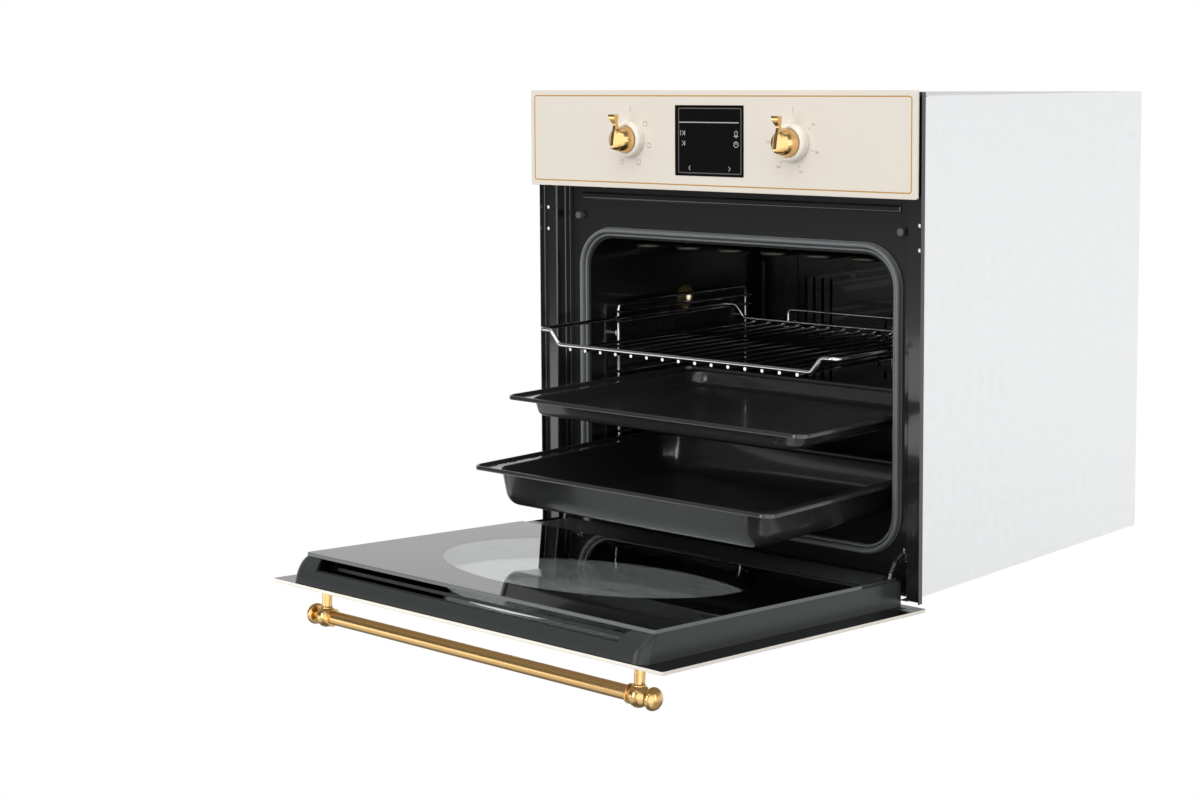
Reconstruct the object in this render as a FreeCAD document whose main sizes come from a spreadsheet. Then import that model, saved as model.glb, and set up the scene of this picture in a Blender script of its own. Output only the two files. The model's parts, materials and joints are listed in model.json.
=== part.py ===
import FreeCAD, Part
import Sketcher
import math
import operator
import os

# Built-in electric oven, 60 cm class, with its door open and the shelves drawn out.
# Lengths are millimetres. X runs to the right, Y into the niche, Z up.
# The origin is on the underside, mid-width, in the plane of the cabinet's front edge.

SIZES = [
    ("front_width", 595.0),
    ("fascia_height", 122.5),
    ("door_height", 468.0),
    ("door_gap", 4.0),
    ("door_drop", 7.5),
    ("front_reach", 22.0),
    ("pane_thick", 4.0),
    ("pane_corner", 2.5),
    ("pane_edge", 0.6),
    ("sheet_thick", 1.0),
    ("run_gap", 0.3),
    ("recess_inset", 25.2),
    ("flange_width", 23.2),
    ("flange_lip", 8.0),
    ("frame_drop", 2.5),
    ("seal_gap", 0.4),
    ("opening_margin", 36.3),
    ("opening_low", 52.0),
    ("opening_drop", 64.5),
    ("opening_radius", 40.0),
    ("cavity_lip", 7.0),
    ("cavity_depth", 430.0),
    ("cavity_wall", 1.2),
    ("chamber_growth", 4.0),
    ("wall_emboss", 3.0),
    ("panel_foot", 45.0),
    ("panel_head", 54.0),
    ("panel_start", 32.0),
    ("panel_end", 48.0),
    ("panel_corner", 14.0),
    ("seal_width", 10.0),
    ("seal_proud", 9.0),
    ("bumper_out", 14.5),
    ("bumper_rise", 28.0),
    ("bumper_radius", 5.0),
    ("bumper_stem", 3.0),
    ("screw_edge", 7.5),
    ("screw_rise", 10.0),
    ("screw_pitch", 28.0),
    ("screw_hole", 2.25),
    ("casing_room", 3.7),
    ("casing_drop", 7.0),
    ("casing_turn", 12.0),
    ("casing_start", 4.0),
    ("rear_room", 85.0),
    ("rear_screw_edge", 7.0),
    ("rear_screw_low", 69.6),
    ("rear_screw_drop", 58.0),
    ("rear_screw_radius", 1.8),
    ("vent_radius", 2.5),
    ("wool_thick", 24.0),
    ("wool_clear", 4.8),
    ("heater_space", 15.0),
    ("carrier_wall", 2.5),
    ("carrier_edge", 3.0),
    ("display_half", 53.0),
    ("display_tall", 85.5),
    ("display_lap", 5.0),
    ("dial_reach", 126.0),
    ("dial_hole", 7.0),
    ("bezel_radius", 22.5),
    ("bezel_proud", 11.0),
    ("bezel_round", 3.9),
    ("knob_radius", 16.5),
    ("knob_deep", 18.0),
    ("knob_lift", 0.4),
    ("knob_bore", 8.0),
    ("knob_lever", 30.0),
    ("spindle_radius", 3.0),
    ("spindle_tail", 18.0),
    ("switch_half", 20.0),
    ("switch_deep", 30.0),
    ("thermostat_half", 17.0),
    ("thermostat_deep", 38.0),
    ("hinge_back", 14.0),
    ("hinge_up", 12.5),
    ("hinge_inset", 16.3),
    ("hinge_plate", 4.0),
    ("hinge_case", 6.2),
    ("case_sheet", 1.2),
    ("case_length", 130.0),
    ("case_foot", 9.0),
    ("slit_clear", 0.4),
    ("slit_drop", 14.0),
    ("pin_radius", 3.0),
    ("door_open", 86.45),
    ("door_depth", 32.6),
    ("door_sheet", 1.5),
    ("door_side", 2.8),
    ("door_lean", 19.5),
    ("shell_rise", 10.0),
    ("shell_corner", 14.0),
    ("shell_taper", 6.0),
    ("air_slot_side", 28.0),
    ("air_slot_deep", 12.0),
    ("air_slot_lean", 14.0),
    ("inner_inset", 5.6),
    ("inner_low", 83.3),
    ("inner_drop", 22.5),
    ("inner_corner", 4.0),
    ("window_margin", 24.0),
    ("window_corner", 30.0),
    ("middle_room", 12.0),
    ("middle_foot", 6.0),
    ("middle_head", 23.0),
    ("rail_width", 10.0),
    ("rail_groove", 6.0),
    ("rail_clear", 3.1),
    ("rail_end", 4.0),
    ("handle_inset", 57.5),
    ("handle_drop", 33.5),
    ("handle_off", 35.8),
    ("bar_radius", 8.0),
    ("bar_socket", 6.0),
    ("post_radius", 5.8),
    ("post_foot", 3.0),
    ("tail_radius", 3.0),
    ("tail_grip", 7.0),
    ("ball_radius", 12.3),
    ("cap_radius", 12.0),
    ("cap_stem", 5.0),
    ("cap_socket", 8.0),
    ("cap_gap", 4.0),
    ("cap_length", 11.0),
    ("nut_radius", 5.6),
    ("nut_thick", 5.0),
    ("level_rise", 35.5),
    ("level_pitch", 40.0),
    ("guide_radius", 2.0),
    ("guide_rise", 13.0),
    ("guide_clear", 5.5),
    ("rack_radius", 2.5),
    ("rack_margin", 20.0),
    ("rack_tail", 56.0),
    ("rack_foot", 12.0),
    ("rack_head", 25.0),
    ("stud_radius", 4.0),
    ("rail_radius", 2.5),
    ("rail_inset", 0.8),
    ("shelf_front", 80.0),
    ("shelf_run", 378.0),
    ("shelf_drop", 17.5),
    ("shelf_shoulder", 34.5),
    ("shelf_slope", 15.0),
    ("grid_radius", 2.0),
    ("grid_margin", 18.8),
    ("stop_half", 119.0),
    ("stop_rise", 17.0),
    ("tray_clear", 1.5),
    ("tray_rim", 22.0),
    ("tray_end", 11.0),
    ("tray_corner", 15.0),
    ("tray_sheet", 1.2),
    ("tray_run", 358.0),
    ("basin_corner", 24.0),
    ("bead_height", 1.6),
    ("bead_width", 2.2),
    ("tray_slot", 24.0),
    ("slot_start", 34.0),
    ("bake_front", 144.0),
    ("bake_depth", 20.0),
    ("bake_draft", 5.0),
    ("bake_round", 7.0),
    ("roast_front", 204.0),
    ("roast_depth", 45.0),
    ("roast_draft", 8.0),
    ("roast_round", 20.0),
    ("heater_radius", 3.3),
    ("heater_tail", 14.0),
    ("grill_drop", 17.0),
    ("grill_start", 28.0),
    ("grill_end", 78.0),
    ("lower_margin", 61.0),
    ("lower_step", 80.0),
    ("lower_leg", 30.0),
    ("lower_end", 60.0),
    ("baffle_room", 30.0),
    ("baffle_side", 42.0),
    ("baffle_foot", 26.0),
    ("baffle_head", 36.0),
    ("baffle_corner", 24.0),
    ("baffle_round", 5.0),
    ("fan_radius", 72.0),
    ("fan_clear", 4.0),
    ("ring_clear", 18.0),
    ("ring_room", 14.0),
    ("motor_radius", 30.0),
    ("motor_length", 44.0),
    ("motor_foot", 62.0),
    ("shaft_radius", 4.0),
    ("shaft_grip", 22.0),
    ("blower_radius", 24.0),
    ("blower_back", 105.0),
    ("blower_clear", 8.0),
    ("blower_spread", 10.0),
    ("blower_motor_radius", 20.0),
    ("blower_motor_length", 34.0),
    ("terminal_half", 32.0),
    ("terminal_side", 90.0),
    ("terminal_drop", 110.0),
    ("terminal_tall", 24.0),
    ("terminal_deep", 24.0),
    ("gland_radius", 10.0),
    ("probe_length", 70.0),
    ("probe_side", 60.0),
    ("probe_drop", 24.0),
    ("probe_radius", 2.5),
    ("lamp_radius", 16.0),
    ("lamp_back", 227.0),
    ("lamp_drop", 103.0),
]

doc = FreeCAD.newDocument("oven")
sheet = doc.addObject("Spreadsheet::Sheet", "Sizes")
for row, (alias, number) in enumerate(SIZES, 1):
    sheet.set(f"A{row}", alias)
    sheet.set(f"B{row}", str(number))
    sheet.setAlias(f"B{row}", alias)
doc.recompute()

OPERATORS = {"+": operator.add, "-": operator.sub, "*": operator.mul, "/": operator.truediv}
PLANES = {"XY": "XY_Plane", "XZ": "XZ_Plane", "YZ": "YZ_Plane"}
NODES = []


class Size:
    """A length that carries its present value and the sheet expression it comes from."""

    def __init__(self, value, text):
        self.value = value
        self.text = text

    def __add__(self, other):
        return combine(self, "+", other)

    def __radd__(self, other):
        return combine(other, "+", self)

    def __sub__(self, other):
        return combine(self, "-", other)

    def __rsub__(self, other):
        return combine(other, "-", self)

    def __mul__(self, other):
        return combine(self, "*", other)

    def __rmul__(self, other):
        return combine(other, "*", self)

    def __truediv__(self, other):
        return combine(self, "/", other)

    def __neg__(self):
        return combine(0.0, "-", self)

    def __float__(self):
        return self.value


def as_size(number):
    """A plain number as a length, so that both kinds mix in one sum."""
    if isinstance(number, Size):
        return number
    text = str(float(number)) if number >= 0 else f"(0 - {abs(float(number))})"
    return Size(float(number), text)


def combine(left, sign, right):
    """Two lengths joined by an operator, in value and in text."""
    left = as_size(left)
    right = as_size(right)
    return Size(OPERATORS[sign](left.value, right.value), f"({left.text} {sign} {right.text})")


def drive(thing, path, length):
    """Bind one property of a document object to a length from the sheet."""
    thing.setExpression(path, as_size(length).text)


class Sheet:
    """The sheet's lengths by name."""


S = Sheet()
for alias, number in SIZES:
    setattr(S, alias, Size(float(sheet.get(alias)), f"Sizes.{alias}"))


def place(thing, at, open_door=False):
    """Stand a piece at a bound position, turned with the door when it belongs to it."""
    if open_door:
        thing.Placement = FreeCAD.Placement(FreeCAD.Vector(), FreeCAD.Rotation(FreeCAD.Vector(1, 0, 0), 10))
        thing.setExpression("Placement.Rotation.Angle", f"{S.door_open.text} * 1 deg")
    for axis, length in zip("xyz", at):
        drive(thing, f"Placement.Base.{axis}", length)


def body(label, at=(0.0, 0.0, 0.0), open_door=False):
    """An empty named solid body at its place."""
    made = doc.addObject("PartDesign::Body", label)
    made.Label = label
    place(made, at, open_door)
    NODES.append(made)
    return made


def shaped(label, solids, at=(0.0, 0.0, 0.0), open_door=False):
    """A named piece made of swept bars, which no flat sketch can carry."""
    made = doc.addObject("Part::Feature", label)
    made.Label = label
    made.Shape = solids[0] if len(solids) == 1 else Part.makeCompound(solids)
    place(made, at, open_door)
    NODES.append(made)
    return made


class Drawing:
    """The lines and rules of one sketch, gathered so that they go in together."""

    def __init__(self):
        self.shapes = []
        self.rules = []
        self.held = []

    def rule(self, *terms):
        self.rules.append(Sketcher.Constraint(*terms))

    def hold(self, kind, item, point, length):
        """Hold a point at a bound distance from the sketch's origin, or a circle at a bound radius."""
        length = as_size(length)
        self.held.append((len(self.rules), length))
        if kind == "Radius":
            self.rule(kind, item, length.value)
        else:
            self.rule(kind, -1, 1, item, point, length.value)


def sketch_on(owner, plane, level, loops):
    """A sketch on one of the body's own planes, moved to a bound level along that plane's axis."""
    made = owner.newObject("Sketcher::SketchObject", f"{owner.Name}_sketch")
    for feature in owner.Origin.OriginFeatures:
        if feature.Role == PLANES[plane]:
            made.AttachmentSupport = [(feature, "")]
    made.MapMode = "FlatFace"
    drive(made, "AttachmentOffset.Base.z", -as_size(level) if plane == "XZ" else level)
    drawing = Drawing()
    for draw in loops:
        draw(drawing)
    made.addGeometry(drawing.shapes, False)
    made.addConstraint(drawing.rules)
    for index, length in drawing.held:
        if "Sizes." in length.text:
            drive(made, f"Constraints[{index}]", length)
    return made


def vector(pair):
    """A sketch point from two lengths."""
    return FreeCAD.Vector(float(pair[0]), float(pair[1]), 0)


def loop(*corners):
    """Draws a closed outline with every corner held."""
    def draw(to):
        first = len(to.shapes)
        count = len(corners)
        for i in range(count):
            to.shapes.append(Part.LineSegment(vector(corners[i]), vector(corners[(i + 1) % count])))
        for i in range(count):
            to.rule("Coincident", first + i, 2, first + (i + 1) % count, 1)
            to.hold("DistanceX", first + i, 1, corners[i][0])
            to.hold("DistanceY", first + i, 1, corners[i][1])
    return draw


def box(left, low, right, high):
    """Draws a rectangle from its four sides."""
    return loop((left, low), (right, low), (right, high), (left, high))


def round_box(left, low, right, high, radius):
    """Draws a rectangle with equal round corners."""
    def draw(to):
        x0, y0, x1, y1, r = [float(n) for n in (left, low, right, high, radius)]
        g = len(to.shapes)
        sides = [(x0 + r, y0, x1 - r, y0), (x1, y0 + r, x1, y1 - r),
                 (x1 - r, y1, x0 + r, y1), (x0, y1 - r, x0, y0 + r)]
        centres = [(x1 - r, y0 + r), (x1 - r, y1 - r), (x0 + r, y1 - r), (x0 + r, y0 + r)]
        for i in range(4):
            a, b, c, d = sides[i]
            to.shapes.append(Part.LineSegment(vector((a, b)), vector((c, d))))
            start = (i - 1) * math.pi / 2
            whole = Part.Circle(vector(centres[i]), FreeCAD.Vector(0, 0, 1), r)
            to.shapes.append(Part.ArcOfCircle(whole, start, start + math.pi / 2))
        for i in range(8):
            to.rule("Tangent", g + i, 2, g + (i + 1) % 8, 1)
        for i in range(4):
            to.rule("Vertical" if i % 2 else "Horizontal", g + 2 * i)
            if i:
                to.rule("Equal", g + 1, g + 2 * i + 1)
        to.hold("DistanceY", g, 1, low)
        to.hold("DistanceX", g + 2, 1, right)
        to.hold("DistanceY", g + 4, 1, high)
        to.hold("DistanceX", g + 6, 1, left)
        to.hold("Radius", g + 1, 3, radius)
    return draw


def arch_box(half, low, high, radius):
    """Draws a rectangle about the upright axis with square lower and round upper corners."""
    def draw(to):
        w, y0, y1, r = [float(n) for n in (half, low, high, radius)]
        g = len(to.shapes)
        up = FreeCAD.Vector(0, 0, 1)
        to.shapes.append(Part.LineSegment(vector((-w, y0)), vector((w, y0))))
        to.shapes.append(Part.LineSegment(vector((w, y0)), vector((w, y1 - r))))
        to.shapes.append(Part.ArcOfCircle(Part.Circle(vector((w - r, y1 - r)), up, r), 0.0, math.pi / 2))
        to.shapes.append(Part.LineSegment(vector((w - r, y1)), vector((r - w, y1))))
        to.shapes.append(Part.ArcOfCircle(Part.Circle(vector((r - w, y1 - r)), up, r), math.pi / 2, math.pi))
        to.shapes.append(Part.LineSegment(vector((-w, y1 - r)), vector((-w, y0))))
        for one, two in ((5, 0), (0, 1)):
            to.rule("Coincident", g + one, 2, g + two, 1)
        for one in range(1, 5):
            to.rule("Tangent", g + one, 2, g + one + 1, 1)
        for one in (0, 3):
            to.rule("Horizontal", g + one)
        for one in (1, 5):
            to.rule("Vertical", g + one)
        to.rule("Equal", g + 2, g + 4)
        to.hold("DistanceY", g, 1, low)
        to.hold("DistanceX", g + 1, 1, half)
        to.hold("DistanceY", g + 3, 1, high)
        to.hold("DistanceX", g + 5, 1, -as_size(half))
        to.hold("Radius", g + 2, 3, radius)
    return draw


def ring(across, up, radius):
    """Draws a circle held by its centre and radius."""
    def draw(to):
        item = len(to.shapes)
        to.shapes.append(Part.Circle(vector((across, up)), FreeCAD.Vector(0, 0, 1), float(radius)))
        to.hold("DistanceX", item, 3, across)
        to.hold("DistanceY", item, 3, up)
        to.hold("Radius", item, 3, radius)
    return draw


def slot(start, end, radius):
    """Draws a slot with round ends between two centres."""
    def draw(to):
        a = vector(start)
        b = vector(end)
        r = float(radius)
        lean = math.atan2(b.y - a.y, b.x - a.x)
        side = FreeCAD.Vector(-math.sin(lean), math.cos(lean), 0) * r
        up = FreeCAD.Vector(0, 0, 1)
        g = len(to.shapes)
        to.shapes.append(Part.ArcOfCircle(Part.Circle(a, up, r), lean + math.pi / 2, lean + 1.5 * math.pi))
        to.shapes.append(Part.LineSegment(a - side, b - side))
        to.shapes.append(Part.ArcOfCircle(Part.Circle(b, up, r), lean - math.pi / 2, lean + math.pi / 2))
        to.shapes.append(Part.LineSegment(b + side, a + side))
        for one, two in ((g, g + 1), (g + 1, g + 2), (g + 2, g + 3), (g + 3, g)):
            to.rule("Tangent", one, 2, two, 1)
        to.rule("Equal", g, g + 2)
        to.hold("DistanceX", g, 3, start[0])
        to.hold("DistanceY", g, 3, start[1])
        to.hold("DistanceX", g + 2, 3, end[0])
        to.hold("DistanceY", g + 2, 3, end[1])
        to.hold("Radius", g, 3, radius)
    return draw


def repeat(owner, feature, axis, span, count):
    """Repeats the last feature in a straight row over a bound span, along the sketch's own axis."""
    made = owner.newObject("PartDesign::LinearPattern", f"{owner.Name}_row")
    made.Originals = [feature]
    made.Direction = (feature.Profile[0], [axis])
    drive(made, "Length", span)
    made.Occurrences = count
    owner.Tip = made
    return made


def repeat_round(owner, feature, count):
    """Repeats the last feature in a full circle about the sketch's own normal."""
    made = owner.newObject("PartDesign::PolarPattern", f"{owner.Name}_circle")
    made.Originals = [feature]
    made.Axis = (feature.Profile[0], ["N_Axis"])
    made.Angle = 360
    made.Occurrences = count
    owner.Tip = made
    return made


def block(owner, plane, start, end, *loops, flare=0.0):
    """Adds material between two levels along the plane's axis, its sides leaning out by the flare angle."""
    made = sketch_on(owner, plane, end if plane == "XZ" else start, loops)
    pad = owner.newObject("PartDesign::Pad", f"{owner.Name}_pad")
    pad.Profile = made
    drive(pad, "Length", as_size(end) - start)
    pad.TaperAngle = flare
    return pad


def cut(owner, plane, start, end, *loops):
    """Takes material away between two levels along the plane's axis."""
    doc.recompute()
    before = owner.Shape.Volume
    made = sketch_on(owner, plane, start if plane == "XZ" else end, loops)
    pocket = owner.newObject("PartDesign::Pocket", f"{owner.Name}_pocket")
    pocket.Profile = made
    drive(pocket, "Length", as_size(end) - start)
    doc.recompute()
    if owner.Shape.Volume > before - 1.0:
        raise ValueError(f"a cut in {owner.Label} takes nothing away")
    return pocket


def scoop(owner, start, end, outline, flare):
    """Hollows upward from a floor level, the walls leaning out by the flare angle."""
    doc.recompute()
    before = owner.Shape.Volume
    pocket_sketch = sketch_on(owner, "XY", start, [outline])
    pocket = owner.newObject("PartDesign::Pocket", f"{owner.Name}_hollow")
    pocket.Profile = pocket_sketch
    pocket.Reversed = True
    pocket.TaperAngle = flare
    drive(pocket, "Length", as_size(end) - start)
    doc.recompute()
    if owner.Shape.Volume > before - 1.0:
        raise ValueError(f"a hollow in {owner.Label} takes nothing away")
    return pocket


def turn(owner, plane, axis, *corners):
    """Adds a turned form: its half outline swept once round a sketch axis."""
    made = sketch_on(owner, plane, 0.0, [loop(*corners)])
    spun = owner.newObject("PartDesign::Revolution", f"{owner.Name}_turned")
    spun.Profile = made
    spun.ReferenceAxis = (made, [axis])
    spun.Angle = 360
    return spun


def loft(owner, kind, plane, *sections, ruled=True):
    """Adds or removes a form that passes through outlines at several levels."""
    drawn = []
    for level, draw in sections:
        drawn.append(sketch_on(owner, plane, level, [draw]))
    form = owner.newObject(f"PartDesign::{kind}Loft", f"{owner.Name}_loft")
    form.Profile = drawn[0]
    form.Sections = drawn[1:]
    form.Ruled = ruled
    return form


def soften(owner, radius, choose):
    """Rounds the edges of the body so far that the chooser picks."""
    doc.recompute()
    tip = owner.Tip
    names = [f"Edge{i}" for i, edge in enumerate(tip.Shape.Edges, 1) if choose(edge)]
    if not names:
        raise ValueError(f"no edge of {owner.Label} was picked for rounding")
    made = owner.newObject("PartDesign::Fillet", f"{owner.Name}_round")
    made.Base = (tip, names)
    drive(made, "Radius", radius)
    doc.recompute()
    return made


def near(value, length, reach=0.05):
    """Whether a measured coordinate is at a length."""
    return abs(value - float(length)) < reach


def along(edge, axis):
    """Whether an edge is straight and runs along X, Y or Z."""
    ends = [edge.Vertexes[0].Point, edge.Vertexes[-1].Point]
    step = ends[1] - ends[0]
    straight = isinstance(edge.Curve, (Part.Line, Part.LineSegment))
    return straight and step.Length > 0.01 and abs(abs(step["XYZ".index(axis)]) - step.Length) < 1e-6


def flat_at(edge, axis, length):
    """Whether a whole edge lies at one level along an axis."""
    bounds = edge.BoundBox
    low = (bounds.XMin, bounds.YMin, bounds.ZMin)["XYZ".index(axis)]
    high = (bounds.XMax, bounds.YMax, bounds.ZMax)["XYZ".index(axis)]
    return near(low, length) and near(high, length)


def bar(points, bend, radius):
    """A round bar along straight runs that are joined by equal bends."""
    corners = [FreeCAD.Vector(*[float(n) for n in p]) for p in points]
    edges = []
    last = corners[0]
    for before, corner, after in zip(corners, corners[1:], corners[2:]):
        back = (before - corner).normalize()
        ahead = (after - corner).normalize()
        half = back.getAngle(ahead) / 2
        middle = (back + ahead).normalize()
        reach = float(bend) / math.tan(half)
        crown = corner + middle * (float(bend) / math.sin(half) - float(bend))
        start = corner + back * reach
        finish = corner + ahead * reach
        if (start - last).Length > 1e-6:
            edges.append(Part.LineSegment(last, start).toShape())
        edges.append(Part.Arc(start, crown, finish).toShape())
        last = finish
    if (corners[-1] - last).Length > 1e-6:
        edges.append(Part.LineSegment(last, corners[-1]).toShape())
    path = Part.Wire(edges)
    heading = edges[0].tangentAt(edges[0].FirstParameter)
    outline = Part.Wire(Part.Circle(corners[0], heading, float(radius)).toShape())
    return path.makePipeShell([outline], True, False)


def rod(start, end, radius):
    """A straight round bar between two points."""
    a = FreeCAD.Vector(*[float(n) for n in start])
    b = FreeCAD.Vector(*[float(n) for n in end])
    return Part.makeCylinder(float(radius), (b - a).Length, a, b - a)


def sine(angle):
    """The sine of an angle from the sheet."""
    return Size(math.sin(math.radians(angle.value)), f"sin({angle.text} * 1 deg)")


def cosine(angle):
    """The cosine of an angle from the sheet."""
    return Size(math.cos(math.radians(angle.value)), f"cos({angle.text} * 1 deg)")


def on_door(across, deep, up):
    """Where a point given from the hinge line of the shut door stands when the door is open."""
    c = cosine(S.door_open)
    s = sine(S.door_open)
    return (across, hinge_y + deep * c - up * s, hinge_z + deep * s + up * c)


def primitive(kind, name, sizes, at=(0.0, 0.0, 0.0), way="Z"):
    """A plain solid with bound sizes, its own axis along X, Y or Z."""
    made = doc.addObject(f"Part::{kind}", name)
    axis = {"X": ((0, 1, 0), 90), "Y": ((1, 0, 0), -90), "Z": ((0, 0, 1), 0)}[way]
    made.Placement = FreeCAD.Placement(FreeCAD.Vector(), FreeCAD.Rotation(FreeCAD.Vector(*axis[0]), axis[1]))
    for path, length in sizes.items():
        drive(made, path, length)
    for letter, length in zip("xyz", at):
        drive(made, f"Placement.Base.{letter}", length)
    return made


# Heights and depths that several pieces share
front = -S.front_reach
front_back = front + S.pane_thick
half_front = S.front_width / 2
door_low = -S.door_drop
door_top = door_low + S.door_height
fascia_low = door_top + S.door_gap
fascia_top = fascia_low + S.fascia_height
fascia_mid = (fascia_low + fascia_top) / 2
frame_top = fascia_top - S.frame_drop
casing_top = fascia_top - S.casing_drop
recess_half = half_front - S.recess_inset
flange_half = recess_half + S.flange_width
wall_half = recess_half + S.sheet_thick
casing_half = wall_half + S.casing_room
seal_front = front_back + S.door_depth + S.seal_gap
plate_front = seal_front + S.seal_proud
plate_back = plate_front + S.sheet_thick
casing_front = plate_back + S.casing_start
opening_half = recess_half - S.opening_margin
opening_high = door_top - S.opening_drop
cavity_half = opening_half + S.cavity_lip
cavity_low = S.opening_low - S.cavity_lip
cavity_high = opening_high + S.cavity_lip
cavity_mid = (cavity_low + cavity_high) / 2
cavity_back = plate_back + S.cavity_depth
cavity_out = cavity_half + S.cavity_wall
chamber_radius = S.opening_radius + S.chamber_growth
casing_back = cavity_back + S.rear_room
display_low = fascia_mid - S.display_tall / 2
display_high = fascia_mid + S.display_tall / 2
hinge_y = front + S.hinge_back
hinge_z = door_low + S.hinge_up
hinge_at = (0.0, hinge_y, hinge_z)
hinge_reach = recess_half - S.hinge_inset
screw_x = flange_half - S.screw_edge
screw_low = opening_high + S.screw_rise
screw_high = screw_low + S.screw_pitch
bumper_x = opening_half + S.bumper_out
bumper_z = opening_high + S.bumper_rise
bumper_front = seal_front + S.seal_gap
baffle_front = cavity_back - S.baffle_room
panel_low = cavity_low + S.panel_foot
panel_high = cavity_high - S.panel_head
panel_front = plate_back + S.panel_start
panel_back = cavity_back - S.panel_end
grill_pitch = opening_half / 7
grill_z = cavity_high - S.grill_drop
heater_end = cavity_back + S.heater_tail
heater_hole = S.heater_radius + S.run_gap
ring_leg = S.fan_radius / 6
ring_drop = S.fan_radius + S.ring_clear
lamp_y = cavity_back - S.lamp_back
lamp_z = cavity_high - S.lamp_drop
rear_screw_x = casing_half - S.rear_screw_edge
rear_screw_z = (S.rear_screw_low, casing_top / 2, casing_top - S.rear_screw_drop)
wool_half = cavity_out + S.wall_emboss
wool_out = casing_half - S.sheet_thick - S.wool_clear
wool_low = cavity_low - S.cavity_wall - S.heater_space
wool_top = cavity_high + S.cavity_wall + S.wool_thick
shaft_hole = S.shaft_radius + S.run_gap
blower_y = cavity_back - S.blower_back
blower_z = wool_top + S.blower_radius + S.blower_clear
blower_half = opening_half / 2 + S.blower_spread
knob_back = -S.bezel_proud - S.knob_lift
knob_face = knob_back - S.knob_deep
level_low = cavity_low + S.level_rise
guide_side = opening_half - S.guide_clear
rack_x = guide_side + S.guide_radius + S.rack_radius
rack_inner = rack_x + S.rack_radius
rack_front = panel_front + S.rack_margin
rack_back = panel_back - S.rack_tail
shelf_rail = guide_side - S.rail_inset
shelf_z = level_low + S.level_pitch * 5 + S.guide_radius + S.run_gap + S.rail_radius
grid_pitch = (shelf_rail - S.shelf_shoulder - S.grid_margin) / 7
tray_half = rack_x - S.rack_radius - S.tray_clear

# Depths and heights on the shut door, counted from its hinge line
pane_front = -S.hinge_back
pane_back = pane_front + S.pane_thick
inner_face = pane_back + S.door_depth
inner_seat = inner_face - S.pane_thick
seat_under = inner_seat - S.door_sheet
door_high = S.door_height - S.hinge_up
inner_half = recess_half - S.inner_inset
inner_bottom = S.inner_low - S.hinge_up
inner_top = door_high - S.inner_drop
frame_low = S.shell_rise - S.hinge_up
middle_y = pane_back + S.middle_room
rail_out = hinge_reach - S.hinge_case - S.rail_clear
rail_in = rail_out - S.rail_width
middle_half = rail_in + S.rail_groove
window_half = rail_in - S.rail_end
hinge_slit = inner_bottom - S.slit_drop
handle_reach = half_front - S.handle_inset
handle_z = door_high - S.handle_drop
bar_y = pane_front - S.handle_off


def front_frame():
    """The enamelled front: two lipped flanges, a recess for the door and the plate round the opening."""
    b = body("front_frame")
    t = S.sheet_thick
    h = recess_half
    bead = h - 1
    deep = plate_front
    lip = -t - S.flange_lip
    lip_in = flange_half - t
    left = [(-flange_half, lip), (-lip_in, lip), (-lip_in, -t), (-h, -t), (-h, deep - 10),
            (-bead, deep - 9), (-bead, deep - 7), (-h, deep - 6), (-h, deep)]
    right = [(h, deep), (h, deep - 6), (bead, deep - 7), (bead, deep - 9), (h, deep - 10),
             (h, -t), (lip_in, -t), (lip_in, lip), (flange_half, lip)]
    back = [(flange_half, 0.0), (wall_half, 0.0), (wall_half, plate_back), (-wall_half, plate_back),
            (-wall_half, 0.0), (-flange_half, 0.0)]
    block(b, "XY", t, frame_top, loop(*left, *right, *back))

    def outer_bend(edge):
        p = edge.Vertexes[0].Point
        at_flange = near(abs(p.x), h) and near(p.y, -t) or near(abs(p.x), flange_half) and near(p.y, 0.0)
        return along(edge, "Z") and (at_flange or near(abs(p.x), wall_half) and near(p.y, plate_back))

    def inner_bend(edge):
        p = edge.Vertexes[0].Point
        at_flange = near(abs(p.x), wall_half) and near(p.y, 0.0) or near(abs(p.x), lip_in) and near(p.y, -t)
        return along(edge, "Z") and (at_flange or near(abs(p.x), h) and near(p.y, deep))

    soften(b, t * 2.2, outer_bend)
    soften(b, t * 1.2, inner_bend)
    ridge = door_top - 6
    block(b, "XZ", deep - 3, deep + t / 2, box(-h + 24, ridge - 9, h - 24, ridge))
    soften(b, t * 2.4, lambda e: flat_at(e, "Y", deep - 3))
    cut(b, "XZ", deep - 1, plate_back + 1,
        round_box(-opening_half, S.opening_low, opening_half, opening_high, S.opening_radius))
    holes = []
    for side in (-1, 1):
        reach = hinge_reach * side
        holes.append(box(reach - 4, cavity_low - 6, reach + 4, cavity_low + 10))
        holes.append(ring(side * bumper_x, bumper_z, S.bumper_stem))
        holes.append(ring(side * S.dial_reach, fascia_mid, S.dial_hole))
    holes.append(box(-S.display_half + 4, display_low + 4, S.display_half - 4, display_high - 4))
    cut(b, "XZ", deep - 1, plate_back + 1, *holes)
    fixing = []
    for side in (-1, 1):
        for height in (screw_low, screw_high):
            fixing.append(ring(side * screw_x, height, S.screw_hole))
    cut(b, "XZ", -t - 1, 1.0, *fixing)


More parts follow.
